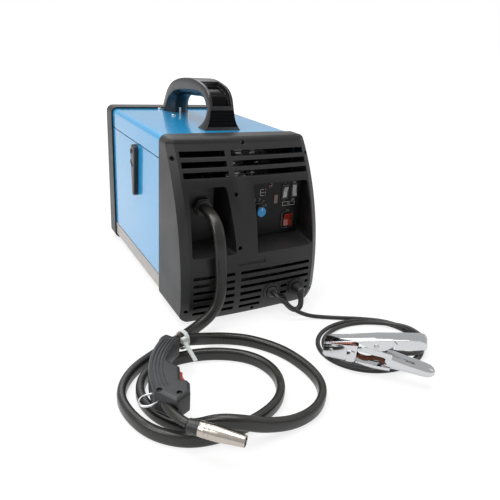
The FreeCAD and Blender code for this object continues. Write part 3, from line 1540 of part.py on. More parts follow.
makeBasePan()
makeFeet()
makeCover()
makeTopScrews()
makeDoor()
makeHingeRod()
makeLatch()
makeFrontBezel()
makeRearBezel()
makeBezelScrews()
makeHandle()
makeControlPlate()
makeSwitches()
makeKnobAndLamp()
makeControlBoard()
makeSockets()
makeTorchHose()
makeTorchGland()
makeTorchHandle()
makeTrigger()
makeHook()
makeNeckAndNozzle()
makeCableTie()
makeEarthCoil()
makeEarthCable()
makeClamp()
makeClampSpring()
makeClampJaws()
makeChangeoverLead()
makeDivider()
makeSpool()
makeFeeder()
makeTransformer()
makeRectifier()
makeFan()
makeRearFittings()

doc.recompute()
faults = []
for item in doc.Objects:
    if "Invalid" in item.State or "Error" in item.State:
        faults.append(f"{item.Label} failed")
for node in nodes:
    if node.Shape.isNull() or not node.Shape.isValid():
        faults.append(f"{node.Label} has no sound shape")
if faults:
    raise RuntimeError("; ".join(faults))

os.makedirs("parts", exist_ok=True)
for node in nodes:
    node.Shape.exportStep(f"parts/{node.Label}.step")
print(len(nodes), "nodes written")
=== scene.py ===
import math

import bmesh
import bpy
from mathutils import Matrix, Vector


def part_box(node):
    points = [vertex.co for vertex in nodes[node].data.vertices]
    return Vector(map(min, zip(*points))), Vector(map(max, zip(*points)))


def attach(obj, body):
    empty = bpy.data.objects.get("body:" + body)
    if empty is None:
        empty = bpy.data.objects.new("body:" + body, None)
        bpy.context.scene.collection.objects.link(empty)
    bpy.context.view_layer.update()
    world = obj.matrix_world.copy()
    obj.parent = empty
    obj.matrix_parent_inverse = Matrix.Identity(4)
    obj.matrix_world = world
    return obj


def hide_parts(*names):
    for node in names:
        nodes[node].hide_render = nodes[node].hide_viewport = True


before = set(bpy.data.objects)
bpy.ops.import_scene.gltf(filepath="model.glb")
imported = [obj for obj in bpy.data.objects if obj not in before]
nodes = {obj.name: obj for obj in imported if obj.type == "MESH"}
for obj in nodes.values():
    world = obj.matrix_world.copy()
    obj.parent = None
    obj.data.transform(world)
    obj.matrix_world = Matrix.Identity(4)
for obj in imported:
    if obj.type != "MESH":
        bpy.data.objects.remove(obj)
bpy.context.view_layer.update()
scene = bpy.context.scene
scene.view_settings.view_transform = "Standard"
print("frame loaded:", len(nodes), "nodes")


# Camera at the photograph's angle
cameraLook = {
    "place": (-0.3651, -0.8158, 0.4114),
    "yaw": 30.18,
    "pitch": -22.83,
    "roll": 4.34,
    "lens": 36.16,
}


def makeCamera():
    yaw, pitch, roll = (math.radians(cameraLook[key]) for key in ("yaw", "pitch", "roll"))
    ahead = Vector((math.sin(yaw) * math.cos(pitch), math.cos(yaw) * math.cos(pitch), math.sin(pitch)))
    level = Vector((math.cos(yaw), -math.sin(yaw), 0))
    upright = level.cross(ahead)
    right = level * math.cos(roll) + upright * math.sin(roll)
    up = upright * math.cos(roll) - level * math.sin(roll)
    data = bpy.data.cameras.new("photoCamera")
    data.lens = cameraLook["lens"]
    data.sensor_width = 36
    data.clip_start = 0.05
    camera = bpy.data.objects.new("photoCamera", data)
    turned = Matrix((right, up, -ahead)).transposed().to_4x4()
    camera.matrix_world = Matrix.Translation(cameraLook["place"]) @ turned
    scene.collection.objects.link(camera)
    scene.camera = camera


makeCamera()


# Small helpers for shader nodes; a value may be a number, a colour or another node's socket
def feed(tree, value, socket):
    if isinstance(value, bpy.types.NodeSocket):
        tree.links.new(value, socket)
    elif value is not None:
        socket.default_value = value


def addNode(tree, kind, values=None, **settings):
    node = tree.nodes.new("ShaderNode" + kind)
    for key, value in settings.items():
        setattr(node, key, value)
    for key, value in (values or {}).items():
        feed(tree, value, node.inputs[key])
    return node


def opaque(color):
    return tuple(color) + (1,)


def mixColors(tree, factor, first, second):
    sockets = {"factor": 0, "first": 6, "second": 7, "result": 2}  # the colour sockets of the Mix node
    second = second if isinstance(second, bpy.types.NodeSocket) else opaque(second)
    values = {sockets["factor"]: factor, sockets["first"]: first, sockets["second"]: second}
    return addNode(tree, "Mix", values, data_type="RGBA").outputs[sockets["result"]]


def maths(tree, operation, first, second=None, clamp=False):
    return addNode(tree, "Math", {0: first, 1: second}, operation=operation, use_clamp=clamp).outputs[0]


def vectorMaths(tree, operation, first, second=None):
    return addNode(tree, "VectorMath", {0: first, 1: second}, operation=operation).outputs


def spreadRange(tree, value, low, high, first, last):
    values = {"Value": value, "From Min": low, "From Max": high, "To Min": first, "To Max": last}
    return addNode(tree, "MapRange", values).outputs["Result"]


def objectPlace(tree):
    return addNode(tree, "TexCoord").outputs["Object"]


def cloudOf(tree, place, **values):
    return addNode(tree, "TexNoise", {"Vector": place, **values}).outputs[0]


def useGroup(tree, group, **values):
    return addNode(tree, "Group", values, node_tree=group).outputs


# A shared effect: build gets the group's tree and inputs, and returns its named outputs
def makeGroup(name, inputs, build):
    group = bpy.data.node_groups.new(name, "ShaderNodeTree")
    kinds = {"VALUE": "NodeSocketFloat", "RGBA": "NodeSocketColor", "VECTOR": "NodeSocketVector"}
    for label, value in inputs.items():
        kind = "VALUE" if isinstance(value, float) else "RGBA" if len(value) == 4 else "VECTOR"
        group.interface.new_socket(label, in_out="INPUT", socket_type=kinds[kind]).default_value = value
    made = build(group, group.nodes.new("NodeGroupInput").outputs)
    for label, socket in made.items():
        group.interface.new_socket(label, in_out="OUTPUT", socket_type=kinds[socket.type])
    leave = group.nodes.new("NodeGroupOutput")
    for label, socket in made.items():
        feed(group, socket, leave.inputs[label])
    return group


def buildGrain(tree, given):
    place = objectPlace(tree)
    cells = addNode(tree, "TexVoronoi", {"Vector": place, "Scale": given["Fineness"], "Randomness": 1.0},
                    feature="SMOOTH_F1")
    cloud = cloudOf(tree, place, Scale=maths(tree, "MULTIPLY", given["Fineness"], 0.45), Detail=3.0, Roughness=0.6)
    height = maths(tree, "ADD", maths(tree, "MULTIPLY", cells.outputs["Distance"], 0.6), cloud)
    return {"Height": height, "Shade": cloud}


# Painted highlight: the edges that the bevel normal finds are lightened, broken up in patches by a noise; the bevel
# normal also rounds their shading
def buildEdge(tree, given):
    rounded = addNode(tree, "Bevel", {"Radius": given["Radius"]}, samples=4).outputs[0]
    flat = addNode(tree, "NewGeometry").outputs["Normal"]
    lean = vectorMaths(tree, "DOT_PRODUCT", rounded, flat)["Value"]
    mask = spreadRange(tree, lean, 0.995, 0.80, 0.0, 1.0)
    highlightGaps = spreadRange(tree, cloudOf(tree, objectPlace(tree), Scale=260.0, Detail=4.0), 0.42, 0.62, 0.0, 1.0)
    kept = maths(tree, "SUBTRACT", 1.0, maths(tree, "MULTIPLY", highlightGaps, given["Patchy"]))
    return {"Mask": maths(tree, "MULTIPLY", mask, kept, clamp=True), "Normal": rounded}


def buildHandling(tree, given):
    cloud = cloudOf(tree, objectPlace(tree), Scale=given["Scale"], Detail=5.0, Roughness=0.62, Distortion=0.4)
    return {"Roughness": spreadRange(tree, cloud, 0.3, 0.7, given["Low"], given["High"])}


def buildTint(tree, given):
    cloud = cloudOf(tree, objectPlace(tree), Scale=given["Scale"], Detail=4.0)
    centred = maths(tree, "SUBTRACT", cloud, 0.5)
    shift = maths(tree, "MULTIPLY", centred, maths(tree, "MULTIPLY", given["Shift"], 4.0))
    values = {"Color": given["Color"], "Value": maths(tree, "ADD", shift, 1.0)}
    return {"Color": addNode(tree, "HueSaturation", values).outputs[0]}


def buildDust(tree, given):
    flat = addNode(tree, "NewGeometry").outputs["Normal"]
    upward = spreadRange(tree, addNode(tree, "SeparateXYZ", {0: flat}).outputs["Z"], 0.3, 1.0, 0.0, 1.0)
    cloud = cloudOf(tree, objectPlace(tree), Scale=45.0, Detail=6.0, Roughness=0.7)
    thin = maths(tree, "MULTIPLY", upward, spreadRange(tree, cloud, 0.35, 0.75, 0.2, 1.0))
    return {"Mask": maths(tree, "MULTIPLY", thin, given["Amount"], clamp=True)}


def buildLines(tree, given):
    stretched = vectorMaths(tree, "MULTIPLY", objectPlace(tree), given["Stretch"])[0]
    return {"Height": cloudOf(tree, stretched, Scale=1.0, Detail=4.0, Roughness=0.65)}


def buildBands(tree, given):
    place = objectPlace(tree)
    counted = maths(tree, "DIVIDE", vectorMaths(tree, "DOT_PRODUCT", place, given["Along"])["Value"], given["Pitch"])
    waver = maths(tree, "MULTIPLY", cloudOf(tree, place, Scale=60.0, Detail=2.0), given["Waver"])
    wave = maths(tree, "SINE", maths(tree, "MULTIPLY", maths(tree, "ADD", counted, waver), 2 * math.pi))
    height = maths(tree, "SQRT", spreadRange(tree, wave, -1.0, 1.0, 0.0, 1.0))
    return {"Height": height, "Gap": spreadRange(tree, height, 0.45, 0.05, 0.0, 1.0)}


# Painted shade: a mask that is full inside the box from Low to High, to darken the colour there
def buildInside(tree, given):
    place = objectPlace(tree)
    above = vectorMaths(tree, "SUBTRACT", place, given["Low"])[0]
    below = vectorMaths(tree, "SUBTRACT", given["High"], place)[0]
    parts = addNode(tree, "SeparateXYZ", {0: vectorMaths(tree, "MINIMUM", above, below)[0]}).outputs
    least = maths(tree, "MINIMUM", maths(tree, "MINIMUM", parts[0], parts[1]), parts[2])
    return {"Mask": maths(tree, "DIVIDE", least, given["Softness"], clamp=True)}


mouldGrain = makeGroup("mouldGrain", {"Fineness": 1500.0}, buildGrain)
paintedEdgeHighlight = makeGroup("paintedEdgeHighlight", {"Radius": 0.001, "Patchy": 0.5}, buildEdge)
handlingMarks = makeGroup("handlingMarks", {"Scale": 18.0, "Low": 0.3, "High": 0.5}, buildHandling)
tintShift = makeGroup("tintShift", {"Color": (0.5, 0.5, 0.5, 1), "Shift": 0.1, "Scale": 9.0}, buildTint)
settledDust = makeGroup("settledDust", {"Amount": 0.2}, buildDust)
drawnLines = makeGroup("drawnLines", {"Stretch": (900.0, 12.0, 900.0)}, buildLines)
evenBands = makeGroup("evenBands", {"Along": (0.0, 0.0, 1.0), "Pitch": 0.001, "Waver": 0.1}, buildBands)
insideShade = makeGroup("insideShade", {"Low": (0.0, 0.0, 0.0), "High": (0.0, 0.0, 0.0), "Softness": 0.01},
                        buildInside)

# What a finish has where its own look says nothing; lengths are in metres
commonLook = {
    "shift": 0.06, "tintScale": 9.0, "streakDepth": 0.00001, "grainDepth": 0.00001, "grainShade": 0.15,
    "edge": 0.0008, "patchy": 0.5, "highlightShare": 0.5, "dust": 0.0, "gloss": (0.3, 0.42), "markScale": 16.0,
}
dustColor = (0.45, 0.44, 0.42)
shaderSockets = {
    "metallic": "Metallic", "coat": "Coat Weight", "coatRoughness": "Coat Roughness",
    "specular": "Specular IOR Level", "inner": "Subsurface Weight",
}


def brighter(color, times, more):
    return [min(1.0, part * times + more) for part in color]


# One finish: colour with slow tint changes, a painted highlight on the edges, dust on top, painted shade in given
# boxes, handled gloss and a fine relief
def makeFinish(name, ownLook):
    look = {**commonLook, **ownLook}
    material = bpy.data.materials.new(name)
    material.use_nodes = True
    tree = material.node_tree
    shader = tree.nodes["Principled BSDF"]
    color = useGroup(tree, tintShift, Color=opaque(look["color"]), Shift=look["shift"],
                     Scale=look["tintScale"])["Color"]
    relief = []  # (height socket, distance in metres)
    if "bands" in look:
        bands = look["bands"]
        made = useGroup(tree, evenBands, Along=bands["along"], Pitch=bands["pitch"], Waver=bands.get("waver", 0.05))
        color = mixColors(tree, made["Gap"], color, bands["gapColor"])
        relief.append((made["Height"], bands["depth"]))
    if "streak" in look:
        lines = useGroup(tree, drawnLines, Stretch=look["streak"])["Height"]
        relief.append((lines, look["streakDepth"]))
        shade = spreadRange(tree, lines, 0.3, 0.7, 0.82, 1.08)
        color = addNode(tree, "HueSaturation", {"Color": color, "Value": shade}).outputs[0]
    if "grain" in look:
        grain = useGroup(tree, mouldGrain, Fineness=1.0 / look["grain"])
        relief.append((grain["Height"], look["grainDepth"]))
        share = maths(tree, "MULTIPLY", grain["Shade"], look["grainShade"])
        color = mixColors(tree, share, color, brighter(look["color"], 1.6, 0.01))
    normal = None
    # painted highlight along the edges
    if look["edge"] > 0:
        edge = useGroup(tree, paintedEdgeHighlight, Radius=look["edge"], Patchy=look["patchy"])
        share = maths(tree, "MULTIPLY", edge["Mask"], look["highlightShare"])
        color = mixColors(tree, share, color, look.get("highlightColor", brighter(look["color"], 1.5, 0.05)))
        normal = edge["Normal"]
    if look["dust"] > 0:
        color = mixColors(tree, useGroup(tree, settledDust, Amount=look["dust"])["Mask"], color, dustColor)
    # painted shade: inside each box the colour turns to the shade colour
    for low, high in look.get("paintedShadeBoxes", []):
        inside = useGroup(tree, insideShade, Low=low, High=high, Softness=look["paintedShadeSoftness"])["Mask"]
        color = mixColors(tree, inside, color, look["paintedShadeColor"])
    low, high = look["gloss"]
    rough = useGroup(tree, handlingMarks, Scale=look["markScale"], Low=low, High=high)["Roughness"]
    feed(tree, color, shader.inputs["Base Color"])
    feed(tree, rough, shader.inputs["Roughness"])
    for height, depth in relief:
        values = {"Strength": 1.0, "Distance": depth, "Height": height, "Normal": normal}
        normal = addNode(tree, "Bump", values).outputs[0]
    feed(tree, normal, shader.inputs["Normal"])
    for key, label in shaderSockets.items():
        if key in look:
            shader.inputs[label].default_value = look[key]
    return material


# Painted shade: inside these boxes the cover's inner face is coloured near black, as it is seen in shade through the
# slots
coverLow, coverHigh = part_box("cover")
innerGap = 0.0009  # just inside the sheet's outer face
foldGap = 0.009  # past the cover's rounded folds
openEnd = 0.01  # beyond the cover's open ends and foot
coverShadeBoxes = [
    ((coverLow[0] + innerGap, coverLow[1] - openEnd, coverLow[2] - openEnd),
     (coverHigh[0] - innerGap, coverHigh[1] + openEnd, coverHigh[2] - foldGap)),
    ((coverLow[0] + foldGap, coverLow[1] - openEnd, coverLow[2] - openEnd),
     (coverHigh[0] - foldGap, coverHigh[1] + openEnd, coverHigh[2] - innerGap)),
]
finishLooks = {
    "blueEnamel": {"color": (0.012, 0.39, 0.8), "gloss": (0.2, 0.28), "shift": 0.015, "coat": 0.8,
        "coatRoughness": 0.03, "grain": 0.004, "grainShade": 0.02, "edge": 0.001, "highlightShare": 0.35,
        "highlightColor": (0.35, 0.72, 0.92), "dust": 0.03, "markScale": 7.0, "paintedShadeColor": (0.006, 0.008, 0.01),
        "paintedShadeSoftness": 0.0003, "paintedShadeBoxes": coverShadeBoxes},
    "panPaint": {"color": (0.52, 0.49, 0.46), "gloss": (0.35, 0.5), "shift": 0.04, "grain": 0.0012,
        "grainDepth": 0.00002, "highlightColor": (0.8, 0.79, 0.77), "dust": 0.1},
    "bezelPlastic": {"color": (0.012, 0.0115, 0.012), "gloss": (0.34, 0.44), "specular": 0.42, "grain": 0.0009,
        "grainDepth": 0.00004, "grainShade": 0.25, "edge": 0.0011, "highlightShare": 0.6, "highlightColor": (0.15, 0.15, 0.155),
        "patchy": 0.25, "dust": 0.03, "paintedShadeColor": (0.003, 0.003, 0.0032), "paintedShadeSoftness": 0.012,
        # painted shade deep inside the torch recess and the panel recess
        "paintedShadeBoxes": [((-0.118, -0.194, 0.128), (-0.02, -0.14, 0.225)),
                      ((-0.01, -0.192, 0.118), (0.116, -0.14, 0.225))]},
    "handlePlastic": {"color": (0.014, 0.014, 0.016), "gloss": (0.2, 0.3), "grain": 0.0012, "grainDepth": 0.000012,
        "grainShade": 0.1, "edge": 0.0012, "highlightShare": 0.6, "highlightColor": (0.22, 0.22, 0.225), "patchy": 0.2,
        "dust": 0.02},
    # painted shade: a darker copy of the handle plastic, for the handle's scoop and ribs and the latch's dark discs
    "recessShadePlastic": {"color": (0.002, 0.002, 0.0024), "gloss": (0.1, 0.18), "specular": 0.1, "grain": 0.002,
        "grainDepth": 0.000006, "grainShade": 0.05, "edge": 0.0006, "highlightShare": 0.3, "highlightColor": (0.1, 0.1, 0.105)},
    # painted shade: the divider wall, seen in shade through the slots, is coloured near black
    "innerWallShade": {"color": (0.01, 0.01, 0.011), "gloss": (0.5, 0.65), "specular": 0.2, "grain": 0.0015,
        "grainDepth": 0.00002, "dust": 0.05},
    "blackPlastic": {"color": (0.015, 0.015, 0.016), "grain": 0.001, "grainDepth": 0.00002, "highlightShare": 0.4,
        "highlightColor": (0.1, 0.1, 0.1), "dust": 0.06},
    "plateFilm": {"color": (0.004, 0.004, 0.0045), "gloss": (0.34, 0.42), "specular": 0.2, "grain": 0.0006, "edge": 0},
    "gripPlastic": {"color": (0.02, 0.021, 0.024), "grain": 0.0008, "grainDepth": 0.00003, "grainShade": 0.2,
        "edge": 0.0009, "highlightColor": (0.16, 0.165, 0.18), "patchy": 0.4, "dust": 0.1},
    "hoseRubber": {"color": (0.013, 0.012, 0.011), "gloss": (0.22, 0.34), "shift": 0.12, "grain": 0.0025,
        "grainShade": 0.2, "edge": 0, "dust": 0.08, "markScale": 30.0},
    "cableRubber": {"color": (0.016, 0.015, 0.015), "gloss": (0.28, 0.42), "shift": 0.12, "grain": 0.0018,
        "grainDepth": 0.00003, "grainShade": 0.2, "edge": 0, "dust": 0.1, "markScale": 40.0},
    "footRubber": {"color": (0.02, 0.02, 0.02), "gloss": (0.6, 0.8), "grain": 0.0015, "grainDepth": 0.00003,
        "dust": 0.2},
    "chromePlate": {"color": (0.62, 0.63, 0.65), "metallic": 1.0, "gloss": (0.05, 0.11), "shift": 0.015,
        "grain": 0.006, "grainShade": 0.02, "edge": 0.0006, "highlightShare": 0.3, "highlightColor": (0.95, 0.95, 0.95),
        "markScale": 25.0},
    "nozzleNickel": {"color": (0.5, 0.455, 0.41), "metallic": 1.0, "gloss": (0.16, 0.26), "shift": 0.05,
        "grain": 0.004, "grainDepth": 0.000002, "edge": 0.0003, "highlightShare": 0.2, "highlightColor": (0.85, 0.82, 0.78),
        "dust": 0.02, "markScale": 80.0},
    "shadedChrome": {"color": (0.1, 0.1, 0.11), "metallic": 1.0, "gloss": (0.12, 0.2), "shift": 0.05, "grain": 0.004,
        "edge": 0.0005, "highlightShare": 0.4, "highlightColor": (0.5, 0.5, 0.5)},
    "zincPlate": {"color": (0.6, 0.61, 0.6), "metallic": 1.0, "gloss": (0.26, 0.4), "streak": (500.0, 60.0, 60.0),
        "edge": 0.0006, "highlightShare": 0.3, "dust": 0.05, "markScale": 40.0},
    "rawAluminium": {"color": (0.66, 0.67, 0.68), "metallic": 1.0, "gloss": (0.32, 0.48), "shift": 0.05,
        "streak": (40.0, 900.0, 900.0), "streakDepth": 0.00002, "dust": 0.05},
    "copperMetal": {"color": (0.5, 0.2, 0.13), "metallic": 1.0, "gloss": (0.25, 0.45), "shift": 0.14,
        "tintScale": 60.0, "grain": 0.0014, "grainDepth": 0.00002, "edge": 0.0005, "highlightShare": 0.4,
        "highlightColor": (0.92, 0.55, 0.38), "dust": 0.03},
    "braidedCopper": {"color": (0.2, 0.075, 0.045), "metallic": 0.9, "gloss": (0.3, 0.45), "shift": 0.15,
        "bands": {"along": (0.9, -0.4, 0.6), "pitch": 0.0013, "depth": 0.0005, "waver": 0.2,
                  "gapColor": (0.02, 0.008, 0.006)}},
    "brassMetal": {"color": (0.72, 0.5, 0.2), "metallic": 1.0, "gloss": (0.22, 0.36), "shift": 0.08, "grain": 0.002,
        "highlightShare": 0.3, "highlightColor": (0.9, 0.75, 0.4), "dust": 0.03},
    "whiteNylon": {"color": (0.84, 0.84, 0.81), "gloss": (0.35, 0.48), "inner": 0.15, "grain": 0.0015,
        "grainShade": 0.03, "edge": 0.0004, "highlightShare": 0.2, "dust": 0.02},
    "greyLever": {"color": (0.5, 0.5, 0.49), "grain": 0.0008, "edge": 0.0004, "highlightColor": (0.8, 0.8, 0.79),
        "dust": 0.02},
    "redRocker": {"color": (0.36, 0.022, 0.01), "gloss": (0.14, 0.24), "coat": 0.6, "coatRoughness": 0.08,
        "inner": 0.1, "grain": 0.003, "edge": 0.0005, "highlightColor": (0.75, 0.14, 0.08), "dust": 0.02},
    "redTrigger": {"color": (0.55, 0.035, 0.03), "gloss": (0.26, 0.38), "grain": 0.001, "grainDepth": 0.00002,
        "edge": 0.0006, "highlightColor": (0.85, 0.22, 0.18), "dust": 0.03},
    "darkWindow": {"color": (0.1, 0.01, 0.008), "gloss": (0.06, 0.12), "coat": 0.8, "coatRoughness": 0.04,
        "grain": 0.004, "grainDepth": 0.000006, "edge": 0},
    "blueCap": {"color": (0.015, 0.32, 0.78), "gloss": (0.22, 0.32), "grain": 0.001, "edge": 0.0005,
        "highlightColor": (0.2, 0.5, 0.85), "dust": 0.02},
    "legendInk": {"color": (0.8, 0.8, 0.78), "gloss": (0.5, 0.6), "shift": 0.1, "tintScale": 900.0, "grain": 0.0004,
        "grainDepth": 0.000004, "grainShade": 0.3, "edge": 0},
    "coreSteel": {"color": (0.16, 0.15, 0.14), "metallic": 0.8, "gloss": (0.42, 0.6),
        "bands": {"along": (1.0, 0.0, 0.0), "pitch": 0.0009, "depth": 0.00012, "gapColor": (0.03, 0.025, 0.02)},
        "dust": 0.15},
    "enamelWire": {"color": (0.5, 0.17, 0.06), "metallic": 0.9, "gloss": (0.22, 0.36), "shift": 0.12,
        "bands": {"along": (0.0, 0.0, 1.0), "pitch": 0.0022, "depth": 0.0006, "waver": 0.12,
                  "gapColor": (0.08, 0.025, 0.01)},
        "dust": 0.06},
    "spoolWire": {"color": (0.7, 0.36, 0.2), "metallic": 1.0, "gloss": (0.2, 0.34), "shift": 0.08,
        "bands": {"along": (1.0, 0.0, 0.0), "pitch": 0.0011, "depth": 0.0003, "waver": 0.25,
                  "gapColor": (0.1, 0.04, 0.02)},
        "dust": 0.03},
    "circuitBoard": {"color": (0.02, 0.13, 0.05), "gloss": (0.2, 0.32),
        "bands": {"along": (0.7, 0.0, 0.7), "pitch": 0.004, "depth": 0.00003, "waver": 1.5,
                  "gapColor": (0.06, 0.3, 0.1)},
        "dust": 0.05},
    "spoolPlastic": {"color": (0.028, 0.028, 0.03), "gloss": (0.35, 0.5), "grain": 0.0015, "grainDepth": 0.00003,
        "dust": 0.08},
}
finishes = {name: makeFinish(name, look) for name, look in finishLooks.items()}
print("finishes made:", len(finishes))

# The frame's own nodes that stay in view
nodeFinishes = {
    "panPaint": "base_pan",
    "footRubber": "rubber_feet",
    "blueEnamel": "cover door_panel",
    "chromePlate": "top_screws torch_hook drive_roll pressure_roll",
    "shadedChrome": "contact_tip",
    "zincPlate": "hinge_rod bezel_screws gear_motor",
    "rawAluminium": "feeder_plate rectifier",
    "brassMetal": "gas_valve",
    "handlePlastic": "door_latch",
    "bezelPlastic": "front_bezel rear_bezel",
    "blackPlastic": "switch_housings speed_knob output_sockets torch_gland pressure_arm tension_knob fan_frame "
                    "fan_rotor mains_gland",
    "gripPlastic": "torch_grip_lower torch_grip_upper",
    "redTrigger": "torch_trigger",
    "cableRubber": "cable_plugs",
    "plateFilm": "control_plate",
    "greyLever": "selector_rocker_1 selector_rocker_2 spool_spindle",
    "darkWindow": "indicator_lamp",
    "circuitBoard": "control_board",
    "innerWallShade": "divider_wall",
    "spoolPlastic": "wire_spool",
    "spoolWire": "wire_coil",
    "coreSteel": "transformer_core output_choke",
    "enamelWire": "transformer_coils",
}
for finishName, nodeNames in nodeFinishes.items():
    for nodeName in nodeNames.split():
        nodes[nodeName].data.materials.clear()
        nodes[nodeName].data.materials.append(finishes[finishName])


# Mesh helpers
def edgesOf(vertices):
    return list({edge for vertex in vertices for edge in vertex.link_edges})


def roundEdges(form, edges, offset):
    bmesh.ops.bevel(form, geom=edges, offset=offset, segments=2, profile=0.5, affect="EDGES", material=-1)


def thicken(form, faces, way):
    made = bmesh.ops.extrude_face_region(form, geom=faces)
    moved = [item for item in made["geom"] if isinstance(item, bmesh.types.BMVert)]
    bmesh.ops.translate(form, verts=moved, vec=way)
    return moved


def newObject(name, data):
    made = bpy.data.objects.new(name, data)
    scene.collection.objects.link(made)
    return made


# A finished piece is smooth up to the angle "sharp", all over with 180, and flat where it is None
def finishPiece(name, form, finish, body, slot, sharp=None, replaced=()):
    bmesh.ops.remove_doubles(form, verts=form.verts, dist=1e-6)
    bmesh.ops.recalc_face_normals(form, faces=form.faces)
    mesh = bpy.data.meshes.new(name)
    form.to_mesh(mesh)
    form.free()
    mesh.materials.append(finishes[finish])
    piece = newObject(name, mesh)
    if sharp is not None:
        mesh.shade_smooth()
    if sharp is not None and sharp < 180:
        mesh.set_sharp_from_angle(angle=math.radians(sharp))
    enterPiece(piece, body, slot, *replaced)
    return piece


def enterPiece(piece, body, slot, *replaced):
    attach(piece, body)
    if replaced:
        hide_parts(*replaced)


def blockInto(form, centre, size, rounding=0.0):
    made = bmesh.ops.create_cube(form, size=1.0, matrix=Matrix.Translation(centre) @ Matrix.Diagonal((*size, 1)))
    if rounding > 0:
        roundEdges(form, edgesOf(made["verts"]), rounding)


# A ring about a centre, bridged to the one before; a squareness of 2 is a plain ellipse
def ringInto(form, rings, centre, first, second, halves, sides, squareness=2.0):
    turned = Matrix((first, second, first.cross(second))).transposed().to_4x4()
    made = bmesh.ops.create_circle(form, segments=sides, radius=0.01, matrix=Matrix.Translation(centre) @ turned)
    for vertex in made["verts"]:
        offset = vertex.co - centre
        one, two = offset.dot(first), offset.dot(second)
        bent = (abs(one) ** squareness + abs(two) ** squareness) ** (1 / squareness)
        vertex.co = centre + (first * one * halves[0] + second * two * halves[1]) / bent
    rings.append(edgesOf(made["verts"]))
    if len(rings) > 1:
        bmesh.ops.bridge_loops(form, edges=rings[-2] + rings[-1])


def closeEnds(form, rings):
    for ring in (rings[0], rings[-1]):
        bmesh.ops.contextual_create(form, geom=ring)


def wayAt(points, index):
    return (points[min(index + 1, len(points) - 1)] - points[max(index - 1, 0)]).normalized()


def sweptTube(name, points, radius, finish, slot, sides=24, replaced=()):
    form = bmesh.new()
    rings = []
    for index, point in enumerate(points):
        turned = wayAt(points, index).to_track_quat("Z", "Y").to_matrix().transposed()
        ringInto(form, rings, point, turned[0], turned[1], (radius, radius), sides)
    closeEnds(form, rings)
    return finishPiece(name, form, finish, "cabinet", slot, sharp=40, replaced=replaced)


def turnedInto(form, profile, start, way, steps=48):
    side = way.orthogonal().normalized()
    chain = [form.verts.new(start + way * distance / 1000 + side * radius / 1000) for distance, radius in profile]
    edges = [form.edges.new(pair) for pair in zip(chain, chain[1:])]
    bmesh.ops.spin(form, geom=chain + edges, cent=start, axis=way, dvec=(0, 0, 0), angle=2 * math.pi,
                   steps=steps, use_merge=True, use_normal_flip=False, use_duplicate=False)


def meshFrom(name, curve):
    holder = newObject(name, curve)
    bpy.context.view_layer.update()
    mesh = bpy.data.meshes.new_from_object(holder.evaluated_get(bpy.context.evaluated_depsgraph_get()))
    bpy.data.objects.remove(holder)
    bpy.data.curves.remove(curve)
    return mesh


# Cords. The routes are the part's own
def routeCurve(name, route, resolution=8):
    curve = bpy.data.curves.new(name, "CURVE")
    curve.dimensions = "3D"
    curve.resolution_u = curve.render_resolution_u = resolution
    spline = curve.splines.new("NURBS")
    spline.points.add(len(route) - 1)
    for point, place in zip(spline.points, route):
        point.co = (*place, 1)
    spline.order_u = 3  # the line passes near its points, and through the first and last
    spline.use_endpoint_u = True
    return curve


def makeCord(name, route, diameter, *replaced):
    curve = routeCurve(name, route)
    curve.bevel_depth = diameter / 2
    curve.bevel_resolution = 6
    curve.use_fill_caps = True
    curve.materials.append(finishes["cableRubber"])
    cord = newObject(name, curve)
    enterPiece(cord, "cabinet", "rubber", *replaced)
    return cord


def routePoints(name, route, resolution=8):
    mesh = meshFrom(name, routeCurve(name, route, resolution))
    points = [vertex.co.copy() for vertex in mesh.vertices]
    bpy.data.meshes.remove(mesh)
    return points


hoseLook = {
    "tall": 0.0174,
    "thick": 0.0112,
    "squareness": 3.2,
    "sides": 28,
    "lowLevel": 0.06,  # below this height the hose turns on its edge
    "turning": 0.15,
}


# The hose is flat sided: its broad side faces forward as it drops, and on the floor it stands on its edge
def makeHose():
    points = routePoints("torchHose", hoseRoute)
    form = bmesh.new()
    rings = []
    broad = Vector((1, 0, 0))
    for index, point in enumerate(points):
        way = wayAt(points, index)
        broad = broad - way * broad.dot(way)
        if point.z < hoseLook["lowLevel"]:
            broad += Vector((0, 0, math.copysign(hoseLook["turning"], broad.z)))
            broad -= way * broad.dot(way)
        broad.normalize()
        ringInto(form, rings, point, broad, way.cross(broad), (hoseLook["tall"] / 2, hoseLook["thick"] / 2),
                 hoseLook["sides"], hoseLook["squareness"])
    closeEnds(form, rings)
    return finishPiece("torchHose", form, "hoseRubber", "cabinet", "rubber", sharp=180, replaced=["torch_hose"]), points


def inMetres(route):
    return [tuple(part / 1000 for part in place) for place in route]


hoseRoute = inMetres([
    (-68, -160, 172), (-68, -183, 172), (-68, -208, 160), (-68, -220, 134), (-66, -222, 102), (-64, -222, 70),
    (-68, -224, 43), (-83, -226, 24), (-106, -231, 14), (-134, -246, 12.5), (-174, -263, 9), (-222, -290, 9),
    (-248, -330, 9), (-245, -372, 9), (-229, -408, 9), (-196, -434, 9), (-150, -439, 9), (-102, -430, 9),
    (-67, -409, 9), (-49, -370, 9), (-58, -328, 9), (-92, -300, 9), (-136, -286, 9), (-178, -288, 9),
    (-210, -305, 9), (-226, -338, 9), (-221, -374, 9), (-204, -402, 9), (-187, -420, 14), (-167, -436, 28.5),
    (-142, -450, 28.5), (-116, -453, 17), (-76, -455, 9), (-38, -446, 9), (-10, -418, 9), (-3, -378, 9),
    (-14, -326, 9), (-45, -285, 9), (-78, -267, 10), (-106, -266, 15.5), (-131, -273, 25), (-152.58, -280.6, 34.3),
    (-164.69, -289.41, 34.3),
])
leadRoute = inMetres([
    (30.7, -218.05, 38.9), (30.7, -227, 38.9), (36, -236, 33.5), (47, -243, 25), (61, -249, 14.5), (80, -255, 6),
    (102, -264, 3.8), (126, -276.5, 3.8),
])
